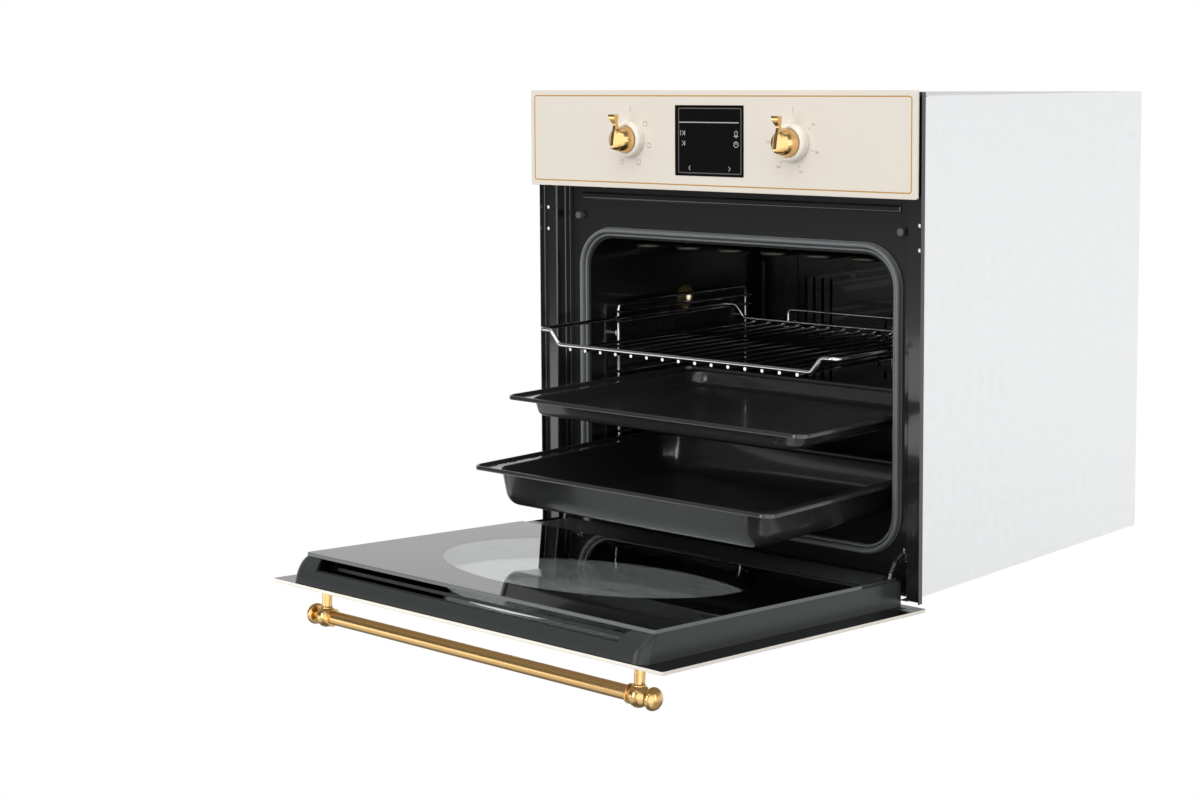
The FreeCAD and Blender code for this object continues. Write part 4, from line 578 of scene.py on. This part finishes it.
def printed(name, pieces, look, height):
    """Joins printed strokes and gives them the thickness of a print, towards the front."""
    made = joined(name, *pieces)
    bpy.ops.object.mode_set(mode="EDIT")
    bpy.ops.mesh.select_all(action="SELECT")
    bpy.ops.mesh.extrude_region_move(TRANSFORM_OT_translate={"value": (0.0, -height, 0.0)})
    tidy()
    finish(made, look, "oven_body")


def around(centre, reach, degrees):
    """A point round a dial, counted clockwise from the top."""
    a = math.radians(degrees)
    return centre + Vector((math.sin(a), 0.0, math.cos(a))) * reach


# Round the dials: from the axis to the zero mark, to a tick and to a number
MARK_REACH = 38 * MM
TICK_REACH = 29 * MM
NUMBER_REACH = 36 * MM
# The bars in each cooking sign, by their height as a share of its size
HEATER_BARS = ((0.32,), (0.32, -0.32), (-0.32,), (0.12,), (0.0,), (0.32, 0.0))
# The temperature scale: the numbers on it, the step between two of them in heat and in degrees
NUMBERS = 5
HEAT_STEP = 50
TURN_STEP = 54


class OVEN_OT_dial_signs(bpy.types.Operator):
    """Print the signs round both dials"""
    bl_idname = "oven.dial_signs"
    bl_label = "Dial signs"

    def execute(self, context):
        trims = context.scene.oven_trims
        # Screen-printed ink: flat, even and matt
        ink = new_material("grey-brown print", context.scene.oven_colours.ink, 0.6)[0]
        size = trims.icon_size / MM
        centre = on_panel("left_knob_bezel")
        pieces = [stroke(around(centre, MARK_REACH, 0), wide=0.7, tall=7.0)]
        for i, bars in enumerate(HEATER_BARS, 1):
            at = around(centre, trims.icon_reach, i * 360 / (len(HEATER_BARS) + 1))
            pieces.append(hoop(at, size, size, line=0.5, radius=1.2))
            for share in bars:
                up = Vector((0.0, 0.0, share * trims.icon_size))
                pieces.append(stroke(at + up, 0.5, size * 0.55, math.pi / 2))
        printed("function_dial_signs", pieces, ink, trims.print_height)
        centre = on_panel("right_knob_bezel")
        pieces = [stroke(around(centre, MARK_REACH, 0), wide=0.7, tall=7.0)]
        for i in range(1, NUMBERS + 1):
            turn = i * TURN_STEP
            pieces.append(stroke(around(centre, TICK_REACH, turn), 0.6, 4.2, math.radians(turn)))
            place = around(centre, NUMBER_REACH, turn)
            pieces.append(self.number(str(i * HEAT_STEP), place, trims.digit_size))
        printed("temperature_dial_signs", pieces, ink, trims.print_height)
        return {"FINISHED"}

    def number(self, digits, at, size):
        """One upright number, made into a mesh before it is placed."""
        let_go()
        bpy.ops.object.text_add()
        made = bpy.context.object
        made.data.body = digits
        made.data.size = size
        made.data.align_x = made.data.align_y = "CENTER"
        bpy.ops.object.convert(target="MESH")
        made = bpy.context.object
        made.rotation_euler = (math.pi / 2, 0.0, 0.0)
        made.location = at
        bpy.ops.object.transform_apply()
        return made


# Strokes on the display, in millimetres from its lower left corner: across, up, breadth, length,
# then the turn in degrees. Two arrows, two skip signs, a clock's hands and a bell's foot
DISPLAY_STROKES = (
    (23.0, 10.8, 0.9, 3.6, 38), (23.0, 8.2, 0.9, 3.6, -38),
    (85.0, 10.8, 0.9, 3.6, -38), (85.0, 8.2, 0.9, 3.6, 38),
    (15.5, 52.0, 1.0, 6.0, 0), (12.8, 53.4, 0.8, 4.2, -48), (12.8, 50.6, 0.8, 4.2, 48),
    (8.8, 52.0, 0.8, 6.0, 0),
    (15.5, 39.5, 1.0, 6.0, 0), (12.8, 40.9, 0.8, 4.2, -48), (12.8, 38.1, 0.8, 4.2, 48),
    (94.2, 40.0, 0.7, 2.6, -35), (95.9, 40.0, 0.7, 2.6, 35),
    (95.0, 48.6, 0.9, 7.0, 90), (95.0, 47.4, 0.9, 2.0, 90))
# The clock's and the bell's outlines: across, up, breadth, height and corner radius
DISPLAY_HOOPS = ((95.0, 39.0, 7.4, 7.4, 3.6), (95.0, 52.2, 4.8, 6.2, 2.1))


class OVEN_OT_display_signs(bpy.types.Operator):
    """Draw the lit lines and signs of the display window"""
    bl_idname = "oven.display_signs"
    bl_label = "Display signs"

    def execute(self, context):
        height = context.scene.oven_trims.print_height
        low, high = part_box("display_glass")
        wide = (high.x - low.x) / MM
        tall = (high.z - low.z) / MM

        def at(across, up):
            return Vector((low.x + across * MM, low.y - PRINT_GAP, low.z + up * MM))

        # Lit segments behind smoked glass: grey lines that glow a little, the rim the least
        dim = new_material("dim display line", linear("#4E4B47"), 0.5,
                           Emission_Color=linear("#5C5852"), Emission_Strength=0.35)[0]
        lit = new_material("lit display sign", linear("#8A8884"), 0.5,
                           Emission_Color=linear("#A8A6A2"), Emission_Strength=0.5)[0]
        rim = hoop(at(wide / 2 + 1.2, tall / 2), wide - 8.4, tall - 6.0, line=1.1, radius=0.8)
        printed("display_rim", [rim], dim, height)
        signs = [stroke(at(wide / 2 - 0.5, tall - 20.5), 1.2, wide - 13.0, math.pi / 2)]
        for across, up, line, length, turn in DISPLAY_STROKES:
            signs.append(stroke(at(across, up), line, length, math.radians(turn)))
        for across, up, breadth, rise, radius in DISPLAY_HOOPS:
            signs.append(hoop(at(across, up), breadth, rise, line=0.8, radius=radius))
        printed("display_signs", signs, lit, height)
        return {"FINISHED"}


# Dial ring in millimetres: its bore, the radius of its shoulder, and the well the knob stands in,
# as depth from the front and radius
RING_BORE = 12.0
RING_ROUND = 4.2
RING_WELL = ((-0.3, 17.6), (-1.0, 16.8), (-1.0, 8.0))
# Knob in millimetres: its gap to the ring, and the drum's half outline as height and radius
KNOB_GAP = 0.4
KNOB_DRUM = ((0.0, 8.0), (0.0, 16.4), (0.5, 16.9), (1.6, 16.8), (13.8, 13.6), (14.3, 13.2),
             (14.2, 12.6), (12.5, 0.0))
# Sections of the lever in millimetres, from its lower end to its head: height up the dial, half
# breadth at the foot, rear, foot, half breadth at the crest, crest. Drawn for a crest 10 mm proud
LEVER_SECTIONS = (
    (-13.2, 1.8, 11.5, 13.4, 1.2, 14.6), (-12.7, 4.0, 11.5, 14.0, 1.7, 18.4),
    (-11.6, 6.4, 11.5, 14.1, 2.0, 22.0), (-10.2, 8.5, 11.5, 14.2, 2.2, 24.3),
    (-8.4, 10.3, 11.5, 14.2, 2.3, 25.3), (-5.0, 12.3, 11.5, 14.2, 2.3, 25.4),
    (-1.0, 13.2, 11.5, 14.2, 2.3, 24.8), (3.0, 12.9, 11.5, 14.2, 2.3, 24.0),
    (7.0, 11.2, 11.5, 14.2, 2.3, 23.0), (10.0, 8.6, 11.5, 14.2, 2.3, 22.2),
    (12.2, 5.2, 12.0, 14.4, 2.2, 21.2), (13.8, 3.4, 12.6, 14.8, 2.2, 20.6),
    (15.6, 2.7, 13.0, 15.2, 2.1, 20.1), (17.8, 2.4, 13.6, 16.0, 2.1, 19.9),
    (19.6, 2.7, 14.8, 16.8, 2.3, 20.4), (21.4, 3.3, 15.8, 17.6, 2.8, 21.8),
    (23.4, 4.0, 16.3, 18.4, 3.6, 23.8), (25.8, 4.6, 16.5, 19.2, 4.3, 25.6),
    (28.3, 5.0, 16.6, 19.6, 4.8, 26.5), (30.4, 5.1, 16.8, 19.8, 4.9, 26.8),
    (31.3, 4.9, 17.0, 19.8, 4.7, 26.6), (31.6, 4.3, 17.6, 19.8, 4.1, 26.0))
DRAWN_CREST = 10.0
DRUM_FACE = 14.0  # the height at which a lower or higher crest changes nothing
CREST_SPAN = 11.0  # and the height above it at which it changes in full
# The hollow of the lever's flanks, as shares of their breadth and rise
FLANK = ((0.64, 0.3), (0.34, 0.6), (0.1, 0.88))


class OVEN_OT_knobs(bpy.types.Operator):
    """Turn the knobs and their rings and draw out the lever blades"""
    bl_idname = "oven.knobs"
    bl_label = "Knobs"

    def execute(self, context):
        forms = context.scene.oven_forms
        metal = gold("satin gold knob", context.scene.oven_colours.gold, 0.2)
        ring = moulded("cream glazed ring", "#F0EBDE", 0.22, (3.0, 0.002))
        front = (0, -1, 0)
        blade = self.blade(forms)
        for side, dial in (("left", "function"), ("right", "temperature")):
            low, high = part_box(f"{side}_knob_bezel")
            at = (low + high) / 2
            at.y = high.y
            deep = (high.y - low.y) / MM
            wide = (high.x - low.x) / MM / 2
            shoulder = [(deep - RING_ROUND + RING_ROUND * math.sin(a),
                         wide - RING_ROUND + RING_ROUND * math.cos(a))
                        for a in (math.radians(10 * i) for i in range(10))]
            well = [(deep + along, radius) for along, radius in RING_WELL]
            made = lathe(f"{side}_dial_ring", at, front,
                         [(0.0, RING_BORE), (0.0, wide), *shoulder, *well], forms.turn_steps)
            finish(made, ring, "oven_body", [f"{side}_knob_bezel"], angle=50)
            back = deep + KNOB_GAP
            drum = lathe("turned_body", at, front,
                         [(back + along, radius) for along, radius in KNOB_DRUM], forms.turn_steps)
            take(blade)
            bpy.ops.object.duplicate()
            copy = bpy.context.object
            copy.location = at + Vector((0.0, -back * MM, 0.0))
            bpy.ops.object.transform_apply()
            made = joined(f"{dial}_lever_knob", drum, copy)
            finish(made, metal, f"{dial}_dial", [f"{dial}_knob"], angle=40)
        bpy.data.objects.remove(blade)
        return {"FINISHED"}

    def blade(self, forms):
        """The lever: flanks that rise to a narrow crest, a slim neck and a head tipped forward."""
        lower = forms.crest / MM - DRAWN_CREST
        rings = []
        for z, base, rear, foot, half, top in LEVER_SECTIONS:
            top += lower * (top - DRUM_FACE) / CREST_SPAN
            run = base - half
            rise = top - foot
            flank = [(half + run * across, foot + rise * up) for across, up in FLANK]
            right = [(base, rear), (base, foot), *flank, (half, top)]
            loop = right + [(-x, y) for x, y in right[::-1]]
            rings.append([Vector((x, -y, z)) * MM for x, y in loop])
        return skin("lever_blade", rings)


# The handle in millimetres: the bar's radius and the posts' distance from its middle
BAR_RADIUS = 8.0
POST_REACH = 240.0
# Half outlines of its turned fittings, as distance from the post's middle and radius
BALL_RADIUS = 12.3
POST_BARREL = (
    (-12.6, 8.0), (-12.6, 10.0), (-12.2, 10.4), (-10.6, 10.4), (-10.2, 10.0),
    *((BALL_RADIUS * math.sin(a), BALL_RADIUS * math.cos(a))
      for a in (math.radians(-52 + 8.8 * i) for i in range(13))),
    (11.0, 6.6), (11.4, 4.8))
POST_STEM = ((8.0, 7.0), (10.4, 7.0), (11.6, 6.6), (12.4, 5.8), (32.4, 5.8), (32.8, 8.8),
             (35.7, 8.8), (35.7, 3.0), (46.0, 3.0), (46.0, 0.0))
CAP_WIDEST = (18.6, 12.1)
CAP_DOME = 8.7
CAP_CROWN = (
    (11.2, 4.8), (15.6, 4.8), (15.8, 9.6), (16.3, 11.2), (17.4, 12.0), CAP_WIDEST,
    *((CAP_WIDEST[0] + CAP_DOME * math.sin(a), CAP_WIDEST[1] * math.cos(a))
      for a in (math.radians(10 * i) for i in range(1, 10))))


class OVEN_OT_handle(bpy.types.Operator):
    """Turn the handle's bar, posts and caps"""
    bl_idname = "oven.handle"
    bl_label = "Handle"

    def execute(self, context):
        steps = context.scene.oven_forms.turn_steps
        colour = context.scene.oven_colours.gold
        metal = gold("brushed gold bar", colour, 0.24, along=(60.0, 1.0, 1.0))
        turned = gold("satin gold fitting", colour, 0.2)
        low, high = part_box("handle_bar")
        at = (low + high) / 2
        half = (high.x - low.x) / MM / 2
        rod = [(-half, 0.0), (-half, BAR_RADIUS), (half, BAR_RADIUS), (half, 0.0)]
        bar = lathe("handle_grip", at, (1, 0, 0), rod, steps)
        finish(bar, metal, "door", ["handle_bar"], angle=40)
        caps = []
        for side, name in ((-1, "left"), (1, "right")):
            ball = at + Vector((side * POST_REACH * MM, 0.0, 0.0))
            outward = (side, 0, 0)
            barrel = lathe("post_ball", ball, outward, POST_BARREL, steps)
            stem = lathe("post_stem", ball, INWARD, POST_STEM, steps)
            post = joined(f"{name}_grip_post", barrel, stem)
            finish(post, turned, "door", [f"{name}_handle_post"], angle=40)
            caps.append(lathe("cap", ball, outward, CAP_CROWN, steps))
        made = joined("grip_caps", *caps)
        finish(made, turned, "door", ["handle_caps"], angle=40)
        return {"FINISHED"}


# Trays: the flat rim below the solid's top, the rolled edge's widest line above that rim, the
# tuck of the edge's skirt, the round of the rim and of the basin, and the rim's breadth
RIM_DROP = 1.6 * MM
BEAD_RISE = 2.4 * MM
TUCK = 0.1 * MM
RIM_CORNER = 15 * MM
BASIN_CORNER = 32 * MM
RIM_WIDTH = Vector((22 * MM, 11 * MM, 0.0))
SHEET = 1.2  # thickness in millimetres
# Steps in millimetres, inward and upward: over the rolled edge, and from the rim into the basin
ROLLED_EDGE = ((0.4, 0.7), (0.7, 0.4), (0.9, 0.1), (0.9, -0.1), (0.7, -0.45), (0.4, -0.8),
               (0.2, -2.25))
BASIN_LIP = ((0.5, -0.1), (0.7, -0.5), (0.5, -0.9))
FOOT_STEPS = 6
# Slots in the rim: how many, the first one's place, pitch and length, and both long sides and
# the part of the rim that is cut, counted from the tray's edge
SLOT_COUNT = 8
SLOT_FIRST = 32 * MM
SLOT_PITCH = 38 * MM
SLOT_LENGTH = 28 * MM
SLOT_INNER = 12.6 * MM
SLOT_OUTER = 7.4 * MM
CUT_INNER = 21.9 * MM
CUT_OUTER = 3 * MM


class OVEN_OT_trays(bpy.types.Operator):
    """Draw both enamelled trays with their rolled rims and slots"""
    bl_idname = "oven.trays"
    bl_label = "Trays"

    def execute(self, context):
        look = enamel("tray enamel", context.scene.oven_colours.tray, 0.22)
        steps = context.scene.oven_forms.corner_steps
        for node, body, draft, foot in (("baking_tray", "baking_drawer", 5.0, 7.0),
                                        ("roasting_tray", "roasting_drawer", 8.0, 18.0)):
            made = self.tray(node, draft, foot, steps)
            finish(made, look, body, [node], angle=40)
        return {"FINISHED"}

    def tray(self, node, draft, foot, steps):
        """A flat rim with a rolled edge, bridged to a basin with drafted walls and a round foot."""
        low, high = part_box(node)
        top = high.z - RIM_DROP
        widest = top + BEAD_RISE
        depth = (top - low.z) / MM - SHEET
        made = begin(f"{node}_drawn")
        outline(Vector((*low.xy, widest)), Vector((*high.xy, widest)), RIM_CORNER, steps)
        step_in(*ROLLED_EDGE)
        bpy.ops.mesh.delete(type="FACE")
        bpy.ops.mesh.primitive_plane_add(size=1.0)
        outline(Vector((*low.xy, top)) + RIM_WIDTH, Vector((*high.xy, top)) - RIM_WIDTH,
                BASIN_CORNER, steps)
        step_in(*BASIN_LIP)
        wall = depth + sum(along for inward, along in BASIN_LIP) - foot
        step_in((draft * wall / depth, -wall))
        lean = math.atan2(draft, depth)
        ease = [lean + (math.pi / 2 - lean) * i / FOOT_STEPS for i in range(FOOT_STEPS + 1)]
        step_in(*[(foot * (math.cos(a) - math.cos(b)),
                   -foot * (math.sin(b) - math.sin(a)) / (1 - math.sin(lean)))
                  for a, b in zip(ease, ease[1:])])
        pick(made, lambda p: abs(p.z - top) < NEAR, "EDGE")
        bpy.ops.mesh.bridge_edge_loops()
        pick(made, lambda p: abs(p.z - widest) < NEAR, "EDGE")
        skirt = {"value": (0.0, 0.0, top - widest)}
        bpy.ops.mesh.extrude_edges_move(TRANSFORM_OT_translate=skirt)
        span = high - low
        bpy.ops.transform.resize(value=(1 - TUCK / span.x, 1 - TUCK / span.y, 1.0))
        self.slots(made, low, high, top)
        tidy()
        sheet = {"value": (0.0, 0.0, -SHEET * MM)}
        bpy.ops.mesh.extrude_region_move(TRANSFORM_OT_translate=sheet)
        tidy()
        return made

    def slots(self, made, low, high, top):
        """A row of slots along each side of the rim: cut across, cut along, and opened."""
        def on_rim(p, inner, outer):
            return abs(p.z - top) < NEAR and high.x - inner < abs(p.x) < high.x - outer

        ends = []
        for i in range(SLOT_COUNT):
            start = low.y + SLOT_FIRST + i * SLOT_PITCH
            ends += [start, start + SLOT_LENGTH]
        for y in ends:
            pick(made, lambda p: on_rim(p, CUT_INNER, CUT_OUTER))
            bpy.ops.mesh.bisect(plane_co=(0, y, 0), plane_no=(0, 1, 0))
        inner, outer = high.x - SLOT_INNER, high.x - SLOT_OUTER
        for x in (inner, outer, -inner, -outer):
            pick(made, lambda p: on_rim(p, CUT_INNER, CUT_OUTER))
            bpy.ops.mesh.bisect(plane_co=(x, 0, 0), plane_no=(1, 0, 0))

        def in_slot(p):
            between = any(a < p.y < b for a, b in zip(ends[::2], ends[1::2]))
            return between and on_rim(p, SLOT_INNER, SLOT_OUTER)

        pick(made, in_slot)
        bpy.ops.mesh.delete(type="FACE")


# Seal: its corner, and in millimetres the steps of its foot, inward and forward, and its two
# rounds, the bulb and the lip: half breadth, rise, drop behind it and the gap to the next
SEAL_CORNER = 52 * MM
SEAL_FOOT = ((0.05, 1.8), (0.6, 0.2), (0.1, 2.0))
SEAL_ROUNDS = ((3.1, 5.0, -3.8, 0.8), (1.6, 1.8, -4.0, 0.0))
SEAL_STEPS = 8
NEXT_RISE = 2.6
SEAL_WALL = 0.05  # breadth of a step that only rises or drops


class OVEN_OT_seal(bpy.types.Operator):
    """Draw the soft seal round the opening, a bulb with a thinner lip inside it"""
    bl_idname = "oven.seal"
    bl_label = "Door seal"

    def execute(self, context):
        steps = context.scene.oven_forms.corner_steps
        low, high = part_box("cavity_gasket")
        made = begin("seal_bulb", upright=True)
        base = Vector((0.0, high.y, 0.0))
        face = Vector((1.0, 0.0, 1.0))
        outline(low * face + base, high * face + base, SEAL_CORNER, steps)
        step_in(*SEAL_FOOT)
        angles = [math.pi * i / SEAL_STEPS for i in range(SEAL_STEPS + 1)]
        for half, rise, drop, gap in SEAL_ROUNDS:
            for a, b in zip(angles, angles[1:]):
                step_in((half * (math.cos(a) - math.cos(b)), rise * (math.sin(b) - math.sin(a))))
            step_in((SEAL_WALL, drop))
            if gap:
                step_in((gap, 0.0), (SEAL_WALL, NEXT_RISE))
        bpy.ops.mesh.delete(type="FACE")
        tidy()
        rubber = moulded("grey seal bulb", "#707374", 0.5, (0.8, 0.006))
        finish(made, rubber, "oven_body", ["cavity_gasket"], angle=50)
        return {"FINISHED"}


# What mirrors see on each side, as brightness by height: 0 is straight down, 0.5 the horizon
MIRROR_BANDS = {
    "all round": ((0.0, 0.2), (0.3, 0.25), (0.38, 1.0), (0.62, 1.0), (0.72, 0.22), (0.93, 0.2),
                  (0.97, 0.9), (1.0, 0.9)),
    "front left": ((0.0, 0.12), (0.1, 0.2), (0.19, 0.8), (0.3, 1.0), (0.35, 0.9), (0.4, 0.35),
                   (0.45, 0.16), (0.5, 0.12), (0.65, 0.12), (0.75, 0.2), (1.0, 0.2)),
    "back right": ((0.0, 0.45), (0.3, 0.5), (0.38, 1.0), (0.53, 1.0), (0.58, 0.6), (0.65, 0.4),
                   (0.75, 0.3), (1.0, 0.2)),
    "front right": ((0.0, 0.8), (0.3, 1.2), (0.37, 1.8), (0.7, 1.8), (0.82, 0.8), (1.0, 0.2)),
}
# Tall strips ahead and to the right, a soft lamp above the front, and a low panel for the handle,
# the trays' rims and the frame's left side: name, place, aim, breadth, height and brightness
LAMPS = (("strip_ahead", (-0.6, -3.2, 0.7), (0.0, 0.0, 0.2), 1.0, 2.2, 4.0),
         ("strip_right", (3.2, 0.0, 0.7), (0.0, 0.0, 0.2), 0.8, 2.2, 2.0),
         ("soft_above", (0.6, -2.0, 2.6), (0.0, 0.0, 0.3), 2.2, 1.4, 1.2),
         ("low_panel", (-1.15, -1.4, -0.15), (-0.1, -0.3, 0.0), 1.0, 0.4, 1.8))
FLOOR_SIDE = 9.0
FLOOR_CORNER = 4.0


class OVEN_OT_stage(bpy.types.Operator):
    """Set the floor, the studio light and the camera"""
    bl_idname = "oven.stage"
    bl_label = "Stage"

    def execute(self, context):
        studio = context.scene.oven_studio
        self.surroundings(context, studio)
        self.floor(studio)
        for lamp in LAMPS:
            self.lamp(context, studio, *lamp)
        self.camera(context, studio)
        context.scene.view_settings.view_transform = "Standard"
        return {"FINISHED"}

    def surroundings(self, context, studio):
        """White to the eye; on matt surfaces even, and dimmer from below; in mirrors banded."""
        world = bpy.data.worlds.new("studio")
        context.scene.world = world
        world.use_nodes = True
        tree = world.node_tree
        tree.nodes.clear()
        path = add_node(tree, "LightPath")
        way = add_node(tree, "TexCoord")
        parts = add_node(tree, "SeparateXYZ", None, Vector=way.outputs["Generated"])
        height = add_node(tree, "MapRange", {"From Min": -1.0, "From Max": 1.0},
                          Value=parts.outputs["Z"])
        bands = {}
        for side, stops in MIRROR_BANDS.items():
            band = add_node(tree, "ValToRGB", None, Fac=height)
            ramp = band.color_ramp
            for element, (place, level) in zip(ramp.elements, (stops[0], stops[-1])):
                element.position = place
                element.color = (level, level, level, 1.0)
            for place, level in stops[1:-1]:
                ramp.elements.new(place).color = (level, level, level, 1.0)
            bands[side] = band
        ahead, leftward, rightward = (
            add_node(tree, "MapRange", {"From Min": none, "From Max": full},
                     Value=parts.outputs[axis])
            for axis, none, full in (("Y", 0.0, -0.25), ("X", 0.15, -0.15), ("X", 0.15, 0.4)))
        left, right = (add_node(tree, "Math", {"operation": "MULTIPLY"}, i0=ahead, i1=side)
                       for side in (leftward, rightward))
        mirrored = bands["all round"]
        for side, share in (("back right", rightward), ("front right", right),
                            ("front left", left)):
            mirrored = add_node(tree, "Mix", {"data_type": "FLOAT"}, i0=share, i2=mirrored,
                                i3=bands[side])
        fill = add_node(tree, "MapRange",
                        {"From Min": -0.1, "From Max": 0.1, "To Min": studio.fill_below,
                         "To Max": studio.fill}, Value=parts.outputs["Z"])
        light = add_node(tree, "Mix", {"data_type": "FLOAT"},
                         i0=path.outputs["Is Glossy Ray"], i2=fill, i3=mirrored)
        strength = add_node(tree, "Mix", {"data_type": "FLOAT", 3: 1.0},
                            i0=self.seen(tree, path), i2=light)
        white = add_node(tree, "Background", {"Color": (1, 1, 1, 1)}, Strength=strength)
        add_node(tree, "OutputWorld", None, Surface=white)

    def seen(self, tree, path):
        """1 for what the eye sees, straight or through glass, and 0 for light and mirrors."""
        return add_node(tree, "Math", {"operation": "MAXIMUM"},
                        i0=path.outputs["Is Camera Ray"], i1=path.outputs["Is Transmission Ray"])

    def floor(self, studio):
        """A plain pale floor, matt and white to the eye, left out of mirrors and of the fill."""
        made = begin("studio_floor")
        bpy.ops.transform.resize(value=(FLOOR_SIDE, FLOOR_SIDE, 1.0))
        bpy.ops.transform.translate(value=(0.0, 0.0, -studio.floor_drop))
        bpy.ops.mesh.bevel(offset=FLOOR_CORNER, segments=16, affect="VERTICES")
        bpy.ops.object.mode_set(mode="OBJECT")
        look, tree, shader = new_material("white studio floor", linear("#F0F0EE"), 0.8)
        path = add_node(tree, "LightPath")
        glow = add_node(tree, "Emission", {"Color": (1, 1, 1, 1), "Strength": 1.0})
        mix = add_node(tree, "MixShader", None, i0=self.seen(tree, path), i1=shader, i2=glow)
        tree.links.new(mix.outputs[0], tree.nodes["Material Output"].inputs["Surface"])
        made.data.materials.append(look)
        made.visible_glossy = made.visible_diffuse = False

    def lamp(self, context, studio, name, at, to, wide, tall, level):
        """One soft rectangular lamp at a place, turned to its aim."""
        data = bpy.data.lights.new(name, "AREA")
        data.shape = "RECTANGLE"
        data.size = wide
        data.size_y = tall
        data.energy = studio.lamps * level * math.pi * wide * tall
        lamp = bpy.data.objects.new(name, data)
        context.scene.collection.objects.link(lamp)
        aim = (Vector(to) - Vector(at)).to_track_quat("-Z", "Y")
        lamp.matrix_world = Matrix.Translation(at) @ aim.to_matrix().to_4x4()
        lamp.visible_camera = False

    def camera(self, context, studio):
        """The photograph's own viewpoint, with an upright shift."""
        yaw, pitch, roll = studio.view_angles
        level = Euler((math.pi / 2 - pitch, 0.0, yaw)).to_matrix()
        turn = level @ Matrix.Rotation(roll, 3, "Z")
        wide, tall = PHOTO_SIZE
        lens = bpy.data.cameras.new("photo_camera")
        lens.sensor_width = SENSOR_WIDTH
        lens.lens = SENSOR_WIDTH * FOCAL_PIXELS / wide
        lens.shift_x = (wide / 2 - AXIS_PIXELS[0]) / wide
        lens.shift_y = (AXIS_PIXELS[1] - tall / 2) / wide
        lens.clip_end = 50.0
        camera = bpy.data.objects.new("photo_camera", lens)
        context.scene.collection.objects.link(camera)
        camera.matrix_world = Matrix.Translation(CAMERA_AT) @ turn.to_4x4()
        context.scene.camera = camera


STEPS = (OVEN_OT_finishes, OVEN_OT_gold_line, OVEN_OT_dial_signs, OVEN_OT_display_signs,
         OVEN_OT_knobs, OVEN_OT_handle, OVEN_OT_trays, OVEN_OT_seal, OVEN_OT_stage)
GROUPS = {"oven_colours": OvenColours, "oven_trims": OvenTrims, "oven_forms": OvenForms,
          "oven_studio": OvenStudio}


class OVEN_PT_panel(bpy.types.Panel):
    """The oven's steps, colours and sizes in the sidebar"""
    bl_idname = "OVEN_PT_panel"
    bl_label = "Built-in oven"
    bl_space_type = "VIEW_3D"
    bl_region_type = "UI"
    bl_category = "Oven"

    def draw(self, context):
        for step in STEPS:
            self.layout.operator(step.bl_idname, text=step.bl_label)
        for name, group in GROUPS.items():
            box = self.layout.box()
            for key in group.__annotations__:
                box.prop(getattr(context.scene, name), key)


CLASSES = (*GROUPS.values(), *STEPS, OVEN_PT_panel)


def register():
    for one in CLASSES:
        bpy.utils.register_class(one)
    for name, group in GROUPS.items():
        setattr(bpy.types.Scene, name, PointerProperty(type=group))


def unregister():
    for name in GROUPS:
        delattr(bpy.types.Scene, name)
    for one in reversed(CLASSES):
        bpy.utils.unregister_class(one)


def main():
    """Dress the oven and set the stage."""
    register()
    bpy.ops.oven.finishes()
    bpy.ops.oven.gold_line()
    bpy.ops.oven.dial_signs()
    bpy.ops.oven.display_signs()
    bpy.ops.oven.knobs()
    bpy.ops.oven.handle()
    bpy.ops.oven.trays()
    bpy.ops.oven.seal()
    bpy.ops.oven.stage()


if __name__ == "__main__":
    main()
